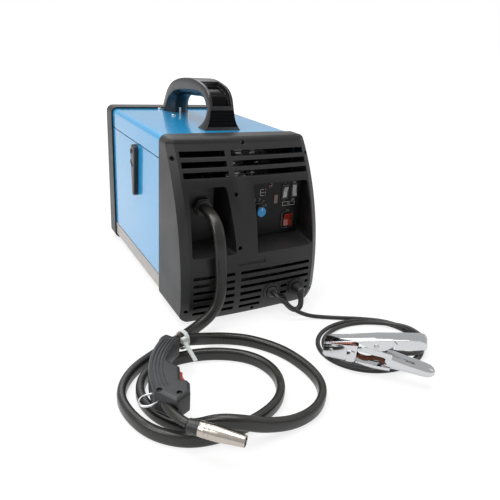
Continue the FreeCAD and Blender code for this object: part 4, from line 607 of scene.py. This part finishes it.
tailRoute = inMetres([
    (188, -401, 13), (168, -411, 13), (145, -411, 15), (122, -405, 21), (104, -402, 25.4), (91.3, -407, 25.4),
    (83.2, -413, 25.4),
])
changeoverRoute = inMetres([
    (77.6, -230, 30.5), (77, -234, 22), (73, -237, 12.8), (64.5, -235.5, 9.2), (56.5, -228.5, 14.5),
    (54.5, -218.5, 19.6), (54.5, -199, 19.6),
])
cableThickness = {"earth": 0.0068, "changeover": 0.009}
turns = {
    "centre": (0.122, -0.3555),
    "squash": 0.80,
    "firstAngle": 66,
    "step": 30,
    "cornering": 1.035,  # a spline of this order runs this much inside its points
    "lowRise": 3.8,
    "reaches": [  # millimetres, as the rises
        84.5, 84.5, 84.5, 83.5, 82.5, 80.5, 79, 79, 81, 83.5, 84, 82,
        79.5, 78.5, 78, 78, 79, 81, 83, 84.5, 81.5, 75, 71.5, 71,
        71.5, 73, 77, 83,
    ],
    "rises": {16: 5, 17: 9, 18: 11.6, 19: 11.6, 20: 11.6, 21: 9, 22: 5, 25: 5.5, 26: 12.5, 27: 14.0},
}


def turnPoints():
    points = []
    for index, reach in enumerate(turns["reaches"]):
        angle = math.radians(turns["firstAngle"] - turns["step"] * index)
        wide = reach * turns["cornering"] / 1000
        points.append((
            turns["centre"][0] + wide * math.cos(angle),
            turns["centre"][1] + wide * turns["squash"] * math.sin(angle),
            turns["rises"].get(index, turns["lowRise"]) / 1000,
        ))
    return points


torchHose, hosePoints = makeHose()
earthCable = makeCord("earthCable", leadRoute + turnPoints() + tailRoute, cableThickness["earth"],
                      "earth_cable", "earth_coil", "earth_cable_tail")
changeoverLead = makeCord("changeoverLead", changeoverRoute, cableThickness["changeover"], "changeover_lead")
print("cords laid")


# Floor, air and lamps
studioLook = {
    "airLevel": 0.22,
    "seenLevel": 1.0,
    "airMirror": 0.45,  # how much of the white is seen in glossy surfaces
    "floorMirror": 0.8,
    "floorShade": (0.90, 0.90, 0.90),
    "floorReach": 60.0,
    "whiteShare": 0.66,  # how much of the floor's look is plain white; the rest keeps its shadows
    "whiteLevel": 1.20,
    "plainFrom": 0.9,  # metres from the middle at which the floor starts to turn plain white
    "plainTo": 2.5,
    "lamps": [  # name, place, aim, width, watts
        ("topLamp", (-0.2, 0.1, 2.1), (0.0, -0.1, 0.1), 1.6, 30.0),
        ("keyLamp", (-1.7, -0.5, 1.4), (0.0, -0.1, 0.1), 1.2, 15.0),
        ("sideLamp", (1.5, -1.0, 1.1), (0.0, -0.1, 0.1), 1.0, 1.5),
        ("backLamp", (0.3, 1.5, 1.6), (0.0, 0.0, 0.2), 1.2, 7.0),
    ],
}


def lightPathShare(tree, mirrorShare):
    path = addNode(tree, "LightPath")
    mirrored = maths(tree, "MULTIPLY", path.outputs["Is Glossy Ray"], mirrorShare)
    seen = maths(tree, "MAXIMUM", path.outputs["Is Camera Ray"], mirrored)
    return maths(tree, "MAXIMUM", seen, path.outputs["Is Transmission Ray"])


def makeStudio():
    world = bpy.data.worlds.new("studioAir")
    scene.world = world
    world.use_nodes = True
    tree = world.node_tree
    air = tree.nodes["Background"]
    air.inputs["Color"].default_value = (1, 1, 1, 1)
    seen = lightPathShare(tree, studioLook["airMirror"])
    feed(tree, spreadRange(tree, seen, 0.0, 1.0, studioLook["airLevel"], studioLook["seenLevel"]),
         air.inputs["Strength"])
    for name, place, aim, width, watts in studioLook["lamps"]:
        data = bpy.data.lights.new(name, "AREA")
        data.size = width
        data.energy = watts
        lamp = newObject(name, data)
        lamp.location = place
        lamp.rotation_euler = (Vector(aim) - Vector(place)).to_track_quat("-Z", "Y").to_euler()


def makeFloor():
    form = bmesh.new()
    bmesh.ops.create_grid(form, x_segments=2, y_segments=2, size=studioLook["floorReach"])
    mesh = bpy.data.meshes.new("studioFloor")
    form.to_mesh(mesh)
    form.free()
    material = bpy.data.materials.new("paleFloor")
    material.use_nodes = True
    tree = material.node_tree
    shader = tree.nodes["Principled BSDF"]
    for label, value in (("Base Color", opaque(studioLook["floorShade"])), ("Roughness", 0.9),
                         ("Specular IOR Level", 0.0)):
        shader.inputs[label].default_value = value
    glow = addNode(tree, "Emission", {"Color": (1, 1, 1, 1), "Strength": studioLook["whiteLevel"]})
    reach = vectorMaths(tree, "LENGTH", objectPlace(tree))["Value"]
    share = spreadRange(tree, reach, studioLook["plainFrom"], studioLook["plainTo"], studioLook["whiteShare"], 1.0)
    factor = maths(tree, "MULTIPLY", lightPathShare(tree, studioLook["floorMirror"]), share)
    blend = addNode(tree, "MixShader", {0: factor, 1: shader.outputs[0], 2: glow.outputs[0]})
    feed(tree, blend.outputs[0], tree.nodes["Material Output"].inputs["Surface"])
    mesh.materials.append(material)
    newObject("studioFloor", mesh)


makeStudio()
makeFloor()
print("studio ready")


# Carry handle: a broad arch that flares at its feet, with sloping cheeks, a scooped front and ribs under a ledge
handleLook = {
    "centre": 0.6,  # all in millimetres; heights are above the cover
    "coverTop": 269.7,
    "innerHalf": 10,
    "stations": [  # outer y and z, cheek y and z, inner y and z, half width
        (-70, 0, -41, 0, -18, 0, 32.2), (-68, 9, -47, 8, -24.3, 7.5, 26.6),
        (-65.8, 19, -51, 18, -27.3, 17, 23.6), (-63.5, 34, -50.5, 29, -26, 28, 21.5),
        (-56.5, 50, -46, 38.8, -22.5, 37.8, 21.5), (-41, 62.6, -33.6, 49.8, -14.5, 43.8, 21.5),
        (-12, 69.7, -14, 54, 2, 44.6, 21.5), (18.5, 72.2, 16, 53.4, 22, 43.1, 21.5),
        (56, 69.6, 48, 51.2, 45, 41.4, 21.5), (88, 64, 78, 48, 75, 39.3, 21.5),
        (115, 55, 99, 44, 96, 37.3, 21.5), (136, 40.5, 116.5, 35.1, 109, 33, 21.5),
        (149, 22, 130, 25, 117, 23, 22), (155, 9, 138, 12, 119.8, 11, 23),
        (157, 0, 139.5, 0, 120.3, 0, 24),
    ],
    "ribHeights": [5, 10.2, 15.4, 20.6, 25.8, 31],
    "ribRim": 2.2,
    "ribDepth": 2.4,
    "scoopFrom": 34.5,
    "scoopTo": -9,
    "scoopRim": 3.4,
    "scoopDepth": 8,
    "rounding": 1.3,
    "scoopLean": 1.2,
    "ribLean": 0.4,
    "steps": 56,  # sections above the ribs
}


# A smooth curve through the rows, at a place such as 2.5, halfway between rows 2 and 3
def smoothBetween(rows, place):
    index = min(max(int(place), 0), len(rows) - 2)
    share = place - index
    before, first = rows[max(index - 1, 0)], rows[index]
    last, after = rows[index + 1], rows[min(index + 2, len(rows) - 1)]
    made = []
    for a, b, c, d in zip(before, first, last, after):
        made.append(b + 0.5 * share * (c - a + share * (2 * a - 5 * b + 4 * c - d + share * (3 * (b - c) + d - a))))
    return made


# Sections at each rib's edge, found by halving, and even steps above them
def handleStations():
    rows = handleLook["stations"]
    places = [0.0]
    for height in handleLook["ribHeights"] + [handleLook["scoopFrom"]]:
        low, high = 0.0, 5.0
        for _ in range(30):
            middle = (low + high) / 2
            low, high = (middle, high) if smoothBetween(rows, middle)[1] < height else (low, middle)
        places.append(low)
    start, steps = places[-1], handleLook["steps"]
    places += [start + (len(rows) - 1 - start) * step / steps for step in range(1, steps + 1)]
    return [smoothBetween(rows, place) for place in places]


def makeCarryGrip():
    form = bmesh.new()
    lift = handleLook["coverTop"]
    inner, turn = handleLook["innerHalf"], handleLook["rounding"]
    rings = []
    for outerY, outerZ, cheekY, cheekZ, innerY, innerZ, half in handleStations():
        outer, cheek, under = Vector((outerY, outerZ)), Vector((cheekY, cheekZ)), Vector((innerY, innerZ))
        out = (outer - cheek).normalized()
        down = (under - cheek).normalized()
        side = [
            (half - turn, outer), (half - 0.3 * turn, outer - out * 0.3 * turn), (half, outer - out * turn),
            (half, cheek + out * turn), (half - 0.4 * turn, cheek + down * 0.6 * turn),
            (inner + turn, under - down * turn), (inner - turn, under),
        ]
        corners = side + [(-x, spot) for x, spot in reversed(side)]
        loop = [form.verts.new(((x + handleLook["centre"]) / 1000, spot[0] / 1000, (spot[1] + lift) / 1000))
                for x, spot in corners]
        rings.append([form.edges.new((loop[at - 1], loop[at])) for at in range(len(loop))])
    for first, last in zip(rings, rings[1:]):
        bmesh.ops.bridge_loops(form, edges=first + last)
    closeEnds(form, rings)
    bmesh.ops.recalc_face_normals(form, faces=form.faces)
    outerFaces = []
    for first, last in zip(rings, rings[1:]):
        ends = set(first[0].verts) | set(last[0].verts)
        outerFaces += [face for face in first[0].link_faces if set(face.verts) == ends]
    count = len(handleLook["ribHeights"])
    ribs = outerFaces[1:count]
    scoop = [face for face in outerFaces[count + 1:]
             if face.calc_center_median().y * 1000 < handleLook["scoopTo"]]
    rim, depth, lean = (handleLook[key] / 1000 for key in ("scoopRim", "scoopDepth", "scoopLean"))
    bmesh.ops.inset_region(form, faces=scoop, thickness=rim, depth=0.0)
    bmesh.ops.inset_region(form, faces=scoop, thickness=lean, depth=-depth)
    # painted shade: the scoop and the rib faces take the darker copy of the handle plastic
    for face in scoop + ribs:
        face.material_index = 1
    rim, depth, lean = (handleLook[key] / 1000 for key in ("ribRim", "ribDepth", "ribLean"))
    for rib in ribs:
        bmesh.ops.inset_individual(form, faces=[rib], thickness=rim / 2, depth=0.0)
        bmesh.ops.inset_individual(form, faces=[rib], thickness=lean, depth=-depth)
    grip = finishPiece("carryGrip", form, "handlePlastic", "cabinet", "black_plastic", sharp=38,
                       replaced=["carry_handle"])
    grip.data.materials.append(finishes["recessShadePlastic"])


makeCarryGrip()
print("handle finished")


# Torch front: a curved neck in a socket, a black collar and a turned nozzle
torchFrame = {
    "rear": (-0.166, -0.290, 0.0343),
    "along": (-0.357, -0.934, 0.0),
    "across": (0.934, -0.357, 0.0),
}
torchLook = {  # millimetres
    "nozzleStart": (152, 27.5),
    "nozzleWay": (0.42, 0.9075),
    "slide": -11,  # the collar and nozzle sit this far back from the start
    "neck": [(96, -11.5), (110, -8), (125, -0.5), (138, 9), (146.5, 19)],
    "neckRadius": 5.3,
    "collarFrom": 0.6,
    "nozzleFrom": 13.2,
    "neckTo": 2,
    "nozzle": [  # distance, radius
        (0, 6.3), (0, 8.1), (0.8, 8.5), (7, 8.5), (7.4, 8), (8.2, 8), (8.6, 8.5), (12, 8.5),
        (12.3, 8.1), (12.9, 8.1), (13.2, 8.5), (19, 8.5), (24, 8.3), (49, 6.4), (50.6, 6.3), (51.2, 6),
        (51, 5.5), (30, 5.3), (30, 0),
    ],
    "collar": [(0, 0), (0, 7.2), (0.8, 7.9), (9, 7.9), (9.4, 8.6), (12.4, 8.6), (12.8, 8.1), (12.8, 0)],
    "socket": [(0, 0), (0, 9), (3, 9), (3.4, 8.2), (7, 8.2), (8, 6.6), (9, 6.6), (9, 0)],
}


def torchPoint(u, v):
    rear, along, across = (Vector(torchFrame[key]) for key in ("rear", "along", "across"))
    return rear + along * u / 1000 + across * v / 1000


def nozzlePoint(distance):
    (u, v), (du, dv) = torchLook["nozzleStart"], torchLook["nozzleWay"]
    distance += torchLook["slide"]
    return torchPoint(u + du * distance, v + dv * distance)


def makeTurned(name, key, start, way, finish, slot, *replaced):
    form = bmesh.new()
    turnedInto(form, torchLook[key], start, way)
    finishPiece(name, form, finish, "cabinet", slot, sharp=30, replaced=replaced)


def makeTorchFront():
    way = (nozzlePoint(1.0) - nozzlePoint(0.0)).normalized()
    start, collarStart = nozzlePoint(torchLook["nozzleFrom"]), nozzlePoint(torchLook["collarFrom"])
    makeTurned("gasNozzle", "nozzle", start, way, "nozzleNickel", "chrome", "gas_nozzle")
    makeTurned("neckCollar", "collar", collarStart, way, "blackPlastic", "black_plastic", "neck_collar")
    route = [torchPoint(u, v) for u, v in torchLook["neck"]] + [nozzlePoint(torchLook["neckTo"])]
    points = routePoints("neckLine", route, 6)
    sweptTube("torchNeck", points, torchLook["neckRadius"] / 1000, "hoseRubber", "rubber", replaced=["torch_neck"])
    way = (points[3] - route[0]).normalized()
    makeTurned("neckSocket", "socket", route[0], way, "blackPlastic", "black_plastic")


makeTorchFront()
print("torch front finished")


# Earth clamp: two pressed channel arms on a rivet, with copper jaws, a coil spring and a braid between them
clampFrame = {
    "tip": (0.034, -0.355, 0.0084),
    "along": (0.667, -0.745, 0.0),
    "across": (0.745, 0.667, 0.0),
}
clampLook = {  # millimetres along the arm and up from its base
    "half": 11,
    "sheet": 1.4,
    "settle": 0.075,  # how far the upper arm lies lower, for each millimetre past the rivet
    "upperTop": [(0.5, 27), (20, 33.4), (45, 41.4), (66, 48.6), (88.4, 56), (108, 62.6), (121, 66.8),
                 (126, 67), (129.6, 65), (131.2, 61.4), (130.6, 57.6), (128, 54.6)],
    "upperTab": [(42, 40), (66, 48), (92, 57), (96, 53), (90, 46), (82, 37.5), (75, 33.6),
                 (66, 33.2), (58, 35), (50, 37)],
    "upperNose": [(0.5, 27), (20, 33.4), (42, 40.4), (42, 38.6), (20, 31.6), (9, 27.8), (6, 25.6)],
    "upperEdge": [(88, 55.8), (108, 62), (121, 66), (126, 66.2), (129, 64.2), (130.4, 61.2),
                  (129.8, 58), (127.4, 55.2), (123.4, 54), (123, 56.6), (125.6, 59), (123.6, 61.4),
                  (108, 57.4), (94, 51.5)],
    "upperSide": [(88, 55), (108, 61.4), (121, 65.4), (126, 65.4), (129.6, 61.4), (127.4, 55.4),
                  (120, 52), (108, 47.5), (94, 43)],
    "lowerNose": [(1, 25.6), (20, 28.8), (46, 33.6), (46, 6), (26, 7), (5, 5.4), (1, 9)],
    "lowerTop": [(46, 33.6), (60, 34.6), (73, 34.2), (92, 32.6), (92, 24), (80, 25.5), (46, 25.5)],
    "lowerFoot": [(46, 6), (46, 9.6), (80, 11), (92, 12), (92, 7.4), (70, 5.6)],
    "lowerWeb": [(5, 5.4), (26, 6.4), (46, 5.2), (70, 5.4), (92, 7.2), (92, 8.8), (70, 7),
                 (46, 6.8), (26, 8), (5, 7)],
    "grip": [(84, 19.6, 9.4, 12.2), (90, 19.4, 10.6, 11.8), (104, 18.6, 10.8, 10), (120, 17.6, 10.8, 8.8),
             (134, 16.6, 10.4, 8), (141, 16.2, 9.6, 7.2), (145.5, 16, 7.2, 5.4), (148, 16, 3.6, 2.8)],
    "block": [(33, 7), (33, 22), (38, 25), (44, 23.5), (45, 9), (41, 6.4)],
    "gripSquareness": 2.8,
    "rivet": (70, 39.4),
    "rivetRadius": 2.4,
    "coil": (5.4, 0.9, 14),  # spring radius, wire radius and width
    "rivetHead": [(0, 0), (0, 3.6), (0.7, 3.3), (1.3, 2.2), (1.6, 0)],
    "tipScrew": (12, 17),
    "upperJaw": (11, 38, 24.6, 28.6, 8.4),  # from, to, under, top and rise along the jaw
    "lowerJaw": (8, 42, 20, 24.4, 3),
    "jawInset": 2,
    "blockProud": 1.8,
    "sideSunk": 0.2,
    "braid": (40, 88, 3.4),  # from, to and radius
    "braidSway": (-5, 1.5, 5),  # middle, swing and pace, sideways
    "braidLift": (17, 2, 6),  # the same, upwards
}


def clampPoint(a, c, r):
    tip, along, across = (Vector(clampFrame[key]) for key in ("tip", "along", "across"))
    return tip + along * a / 1000 + across * c / 1000 + Vector((0, 0, r / 1000))


def clampPlate(form, outline, near, far, rounding=0.3):
    chain = [form.verts.new(clampPoint(a, near, r)) for a, r in outline]
    moved = thicken(form, [form.faces.new(chain)], Vector(clampFrame["across"]) * (far - near) / 1000)
    if rounding > 0:
        roundEdges(form, edgesOf(chain + moved), rounding / 1000)


def clampPair(form, outline):
    half, sheet = clampLook["half"], clampLook["sheet"]
    clampPlate(form, outline, -half, -half + sheet)
    clampPlate(form, outline, half - sheet, half)


def insideOf(outline, depth):
    inner = []
    for index, (a, r) in enumerate(outline):
        before, after = outline[max(index - 1, 0)], outline[min(index + 1, len(outline) - 1)]
        way = Vector((after[0] - before[0], after[1] - before[1])).normalized()
        inner.append((a + way[1] * depth, r - way[0] * depth))
    return inner


def settled(outline):
    turning = clampLook["rivet"][0]
    return [(a, r - clampLook["settle"] * max(0, a - turning)) for a, r in outline]


def makeClampUpper():
    form = bmesh.new()
    half, sheet = clampLook["half"], clampLook["sheet"]
    for key in ("upperTab", "upperNose", "upperEdge"):
        clampPair(form, settled(clampLook[key]))
    side = settled(clampLook["upperSide"])
    clampPlate(form, side, clampLook["sideSunk"] - half, sheet - half, 0)
    for face in list(form.faces)[-len(side) - 2:]:  # the last faces of the list are the darker ones
        face.material_index = 1
    top = settled(clampLook["upperTop"])
    clampPlate(form, top + insideOf(top, sheet)[::-1], -half, half, 0.4)
    arm = finishPiece("clampUpperArm", form, "chromePlate", "clamp_arm", "chrome", sharp=32,
                      replaced=["clamp_upper_arm"])
    arm.data.materials.append(finishes["shadedChrome"])


def makeClampLower():
    form = bmesh.new()
    half = clampLook["half"]
    for key in ("lowerNose", "lowerTop", "lowerFoot"):
        clampPair(form, clampLook[key])
    clampPlate(form, clampLook["lowerWeb"], -half, half, 0.4)
    clampPlate(form, clampLook["block"], -half - clampLook["blockProud"], -half, 0.7)
    rings = []
    for a, r, wide, tall in clampLook["grip"]:
        ringInto(form, rings, clampPoint(a, 0, r), Vector(clampFrame["across"]), Vector((0, 0, 1)),
                 (wide / 1000, tall / 1000), 32, clampLook["gripSquareness"])
    closeEnds(form, rings)
    finishPiece("clampLowerArm", form, "chromePlate", "cabinet", "chrome", sharp=32, replaced=["clamp_lower_arm"])


def makeClampPins():
    form = bmesh.new()
    half, across, radius = clampLook["half"], Vector(clampFrame["across"]), clampLook["rivetRadius"]
    for a, r in (clampLook["rivet"], clampLook["tipScrew"]):
        for side in (-1, 1):
            turnedInto(form, clampLook["rivetHead"], clampPoint(a, side * half, r), across * side, 32)
    a, r = clampLook["rivet"]
    pin = [(0.0, 0.0), (0.0, radius), (2 * half, radius), (2 * half, 0.0)]
    turnedInto(form, pin, clampPoint(a, -half, r), across, 24)
    finishPiece("clampPins", form, "zincPlate", "cabinet", "zinc", sharp=32, replaced=["clamp_pins"])


def makeClampSpring():
    a, r = clampLook["rivet"]
    reach, thin, wide = clampLook["coil"]
    steps, perTurn = 104, 16
    coil = [clampPoint(a + reach * math.cos(step * 2 * math.pi / perTurn), wide * (step / steps - 0.5),
                       r + reach * math.sin(step * 2 * math.pi / perTurn)) for step in range(steps + 1)]
    sweptTube("clampSpring", coil, thin / 1000, "zincPlate", "zinc", 8, ["clamp_spring"])


def makeClampJaw(name, key, body, node):
    start, end, under, top, rise = clampLook[key]
    form = bmesh.new()
    half = clampLook["half"] - clampLook["jawInset"]
    clampPlate(form, [(start, under), (end, under + rise), (end, top + rise), (start, top)], -half, half, 0.6)
    finishPiece(name, form, "copperMetal", body, "copper", sharp=32, replaced=[node])


def makeClampBraid():
    start, end, radius = clampLook["braid"]
    (side, sway, pace), (level, lift, beat) = clampLook["braidSway"], clampLook["braidLift"]
    points = [clampPoint(a, side + sway * math.sin(a / pace), level + lift * math.cos(a / beat))
              for a in range(start, end + 1, 2)]
    sweptTube("clampBraid", points, radius / 1000, "braidedCopper", "copper", 16)


makeClampUpper()
makeClampLower()
makeClampPins()
makeClampSpring()
makeClampJaw("clampJawUpper", "upperJaw", "clamp_arm", "clamp_jaw_upper")
makeClampJaw("clampJawLower", "lowerJaw", "cabinet", "clamp_jaw_lower")
makeClampBraid()
print("clamp finished")


# White tie that holds the hose to the rear of the grip, with its free end hanging inside the loop
tieLook = {
    "centre": (-0.1470, -0.2785, 0.0315),
    "way": (-0.93, -0.34, 0.10),
    "half": (0.0100, 0.0118),  # sideways and upright
    "wide": 0.0060,
    "thick": 0.0015,
    "head": (-0.1500, -0.2905, 0.0385),
    "headSize": (0.0072, 0.0052, 0.004),  # across, through and half its height
    "tailEnd": (-0.1435, -0.3170, 0.0215),
}


def barInto(form, start, end, wide, thick, toward):
    run = end - start
    way = run.normalized()
    side = (toward - way * way.dot(toward)).normalized()
    turned = Matrix((way, side, way.cross(side))).transposed().to_4x4()
    bmesh.ops.create_cube(form, size=1.0, matrix=Matrix.Translation((start + end) / 2) @ turned
                          @ Matrix.Diagonal((run.length, wide, thick, 1)))


def makeTie():
    form = bmesh.new()
    way, upward = Vector(tieLook["way"]).normalized(), Vector((0, 0, 1))
    side = way.cross(upward).normalized()
    turned = Matrix((side, side.cross(way), way)).transposed().to_4x4()
    place = Matrix.Translation(Vector(tieLook["centre"]) - way * tieLook["wide"] / 2) @ turned
    made = bmesh.ops.create_circle(form, segments=40, radius=1.0,
                                   matrix=place @ Matrix.Diagonal((*tieLook["half"], 1, 1)))
    band = bmesh.ops.extrude_edge_only(form, edges=edgesOf(made["verts"]))
    moved = [item for item in band["geom"] if isinstance(item, bmesh.types.BMVert)]
    bmesh.ops.translate(form, verts=moved, vec=way * tieLook["wide"])
    bmesh.ops.recalc_face_normals(form, faces=form.faces)
    bmesh.ops.solidify(form, geom=list(form.faces), thickness=-tieLook["thick"])
    head, tail = Vector(tieLook["head"]), Vector(tieLook["tailEnd"])
    wide, thick, tall = tieLook["headSize"]
    barInto(form, head - upward * tall, head + upward * tall, wide, thick, way)
    barInto(form, head, tail, tieLook["wide"], tieLook["thick"], way)
    finishPiece("cableTie", form, "whiteNylon", "cabinet", "white_plastic", replaced=["cable_tie"])


makeTie()


# Two dark discs on the door latch: painted shade standing for its screw wells
latchLook = {  # places in metres, sizes in millimetres
    "holes": [(0.0268, 0.2195), (0.0262, 0.2020)],
    "radius": 4.2,
    "proud": 0.3,
    "sunk": 0.1,
}


def makeLatchShadeDiscs():
    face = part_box("door_latch")[0][0] + latchLook["sunk"] / 1000
    radius, proud = latchLook["radius"], latchLook["proud"]
    form = bmesh.new()
    for y, z in latchLook["holes"]:
        turnedInto(form, [(0.0, 0.0), (0.0, radius), (proud, radius - proud), (proud, 0.0)],
                   Vector((face, y, z)), Vector((-1, 0, 0)), 32)
    finishPiece("latchShadeDiscs", form, "recessShadePlastic", "latch", "black_plastic")


makeLatchShadeDiscs()
print("tie and latch wells finished")


# Panel print: plain ticks, numbers and switch words
panelLook = {
    "face": -0.1600,
    "proud": 0.00012,
    "knob": (0.0225, 0.162),
    "ticks": (0.0128, 0.0148, 0.0004),  # from, to and width
    "tickStep": 30,
    "numberReach": 0.0172,
    "small": 0.0030,
    "words": [  # text, x, z, size
        ("2", 0.073, 0.2012, 0.0028), ("1", 0.073, 0.1726, 0.0028), ("MAX", 0.0905, 0.2012, 0.0028),
        ("MIN", 0.0905, 0.1726, 0.0028), ("1-4", 0.082, 0.1664, 0.0034), ("ON", 0.082, 0.1545, 0.0030),
        ("OFF", 0.082, 0.1243, 0.0030), ("3", 0.0360, 0.1935, 0.0030), ("2", 0.0360, 0.1885, 0.0030),
        ("1", 0.0360, 0.1835, 0.0030),
    ],
    "bars": [  # x, z, width, height
        (0.0705, 0.1665, 0.0004, 0.006), (0.0935, 0.1665, 0.0004, 0.006), (0.082, 0.1695, 0.0234, 0.0004),
        (0.082, 0.1635, 0.0234, 0.0004), (0.0305, 0.1935, 0.0060, 0.0005), (0.0305, 0.1885, 0.0060, 0.0005),
        (0.0305, 0.1835, 0.0060, 0.0005), (0.0273, 0.1885, 0.0005, 0.0105),
    ],
    "cap": (-0.1768, 0.0077, 0.0073, 0.0018),  # middle, foot radius, face radius and depth
    "capEdge": 0.0005,
    "line": (-0.17785, 0.0045, (0.0009, 0.0004, 0.0050)),  # face, rise and size
    "lineEdge": 0.0001,
}
quarter = Matrix.Rotation(math.radians(90), 4, "X")


def panelPlace(x, z, depth=0.0):
    return Matrix.Translation((x, panelLook["face"] - depth, z))


def printText(form, text, x, z, size):
    curve = bpy.data.curves.new("panelWord", "FONT")
    curve.body = text
    curve.size = size
    curve.align_x = "CENTER"
    curve.align_y = "CENTER"
    curve.extrude = panelLook["proud"] / 2
    curve.resolution_u = 3
    mesh = meshFrom("panelWord", curve)
    mesh.transform(panelPlace(x, z, panelLook["proud"] / 2) @ quarter)
    form.from_mesh(mesh)
    bpy.data.meshes.remove(mesh)


def printBar(form, x, z, wide, tall, turn=0.0):
    place = panelPlace(x, z, panelLook["proud"] / 2) @ Matrix.Rotation(turn, 4, "Y")
    bmesh.ops.create_cube(form, size=1.0, matrix=place @ Matrix.Diagonal((wide, panelLook["proud"], tall, 1)))


def makePanelPrint():
    form = bmesh.new()
    knobX, knobZ = panelLook["knob"]
    start, end, wide = panelLook["ticks"]
    reach = panelLook["numberReach"]
    for index in range(10):
        angle = math.radians(index * panelLook["tickStep"] - 135)
        aimX, aimZ = math.sin(angle), math.cos(angle)
        middle = (start + end) / 2
        printBar(form, knobX + aimX * middle, knobZ + aimZ * middle, wide, end - start, angle)
        printText(form, str(index + 1), knobX + aimX * reach, knobZ + aimZ * reach, panelLook["small"])
    for text, x, z, size in panelLook["words"]:
        printText(form, text, x, z, size)
    for x, z, wide, tall in panelLook["bars"]:
        printBar(form, x, z, wide, tall)
    finishPiece("panelPrint", form, "legendInk", "cabinet", "grey_plastic")


def makeKnobCap():
    form = bmesh.new()
    x, z = panelLook["knob"]
    middle, foot, face, depth = panelLook["cap"]
    place = Matrix.Translation((x, middle, z)) @ quarter
    bmesh.ops.create_cone(form, cap_ends=True, cap_tris=False, segments=48, radius1=foot, radius2=face,
                          depth=depth, matrix=place)
    front = [vertex for vertex in form.verts if vertex.co.y < middle]
    rims = [edge for edge in edgesOf(front) if all(vertex in front for vertex in edge.verts)]
    roundEdges(form, rims, panelLook["capEdge"])
    finishPiece("knobCap", form, "blueCap", "speed_dial", "blue_paint")


def makeKnobLine():
    form = bmesh.new()
    x, z = panelLook["knob"]
    face, rise, size = panelLook["line"]
    blockInto(form, (x, face, z + rise), size, panelLook["lineEdge"])
    finishPiece("knobLine", form, "legendInk", "speed_dial", "white_plastic")


# Power rocker in its frame, and the dark red window
rockerLook = {
    "middle": (0.082, 0.1393),
    "half": (0.0078, 0.0104),
    "profile": [  # out from the panel, and up as a share of the half height; its back leaves room to rock
        (0.0004, -1.0), (0.0042, -1.0), (0.0030, -0.45), (0.0022, 0.0), (0.0036, 0.5), (0.0062, 1.0), (0.0042, 1.0),
        (0.0006, 0.0),
    ],
    "openHalf": (0.0085, 0.0121),
    "frameHalf": (0.0110, 0.0146),
    "frameProud": 0.0016,
    "frameSunk": 0.0002,
    "edge": 0.0004,
    "windowMiddle": (0.0565, 0.176),
    "windowSize": (0.0068, 0.0012, 0.0144),
    "windowEdge": 0.0003,
}


def makeRocker():
    x, z = rockerLook["middle"]
    wide, tall = rockerLook["half"]
    form = bmesh.new()
    chain = [form.verts.new((x - wide, panelLook["face"] - out, z + up * tall)) for out, up in rockerLook["profile"]]
    thicken(form, [form.faces.new(chain)], (2 * wide, 0, 0))
    roundEdges(form, list(form.edges), rockerLook["edge"])
    finishPiece("powerRocker", form, "redRocker", "power_switch", "red_plastic", sharp=35,
                replaced=["power_rocker"])


def makeFrame():
    form = bmesh.new()
    (wide, tall), opening = rockerLook["frameHalf"], rockerLook["openHalf"]
    place = panelPlace(*rockerLook["middle"], rockerLook["frameSunk"]) @ quarter
    bmesh.ops.create_grid(form, x_segments=1, y_segments=1, size=0.5,
                          matrix=place @ Matrix.Diagonal((2 * wide, 2 * tall, 1, 1)))
    faces = list(form.faces)
    bmesh.ops.inset_region(form, faces=faces, thickness=wide - opening[0], depth=0.0, use_boundary=True)
    bmesh.ops.delete(form, geom=faces, context="FACES")
    bmesh.ops.recalc_face_normals(form, faces=form.faces)
    moved = thicken(form, list(form.faces), (0, -rockerLook["frameProud"], 0))
    roundEdges(form, [edge for edge in form.edges if all(v in moved for v in edge.verts)], rockerLook["edge"])
    finishPiece("rockerFrame", form, "blackPlastic", "cabinet", "black_plastic")


def makeWindow():
    x, z = rockerLook["windowMiddle"]
    size = rockerLook["windowSize"]
    form = bmesh.new()
    blockInto(form, (x, panelLook["face"] - size[1] / 2, z), size, rockerLook["windowEdge"])
    finishPiece("redWindow", form, "darkWindow", "cabinet", "red_lens")


makeRocker()
makeFrame()
makeWindow()
makePanelPrint()
makeKnobCap()
makeKnobLine()
print("panel finished")
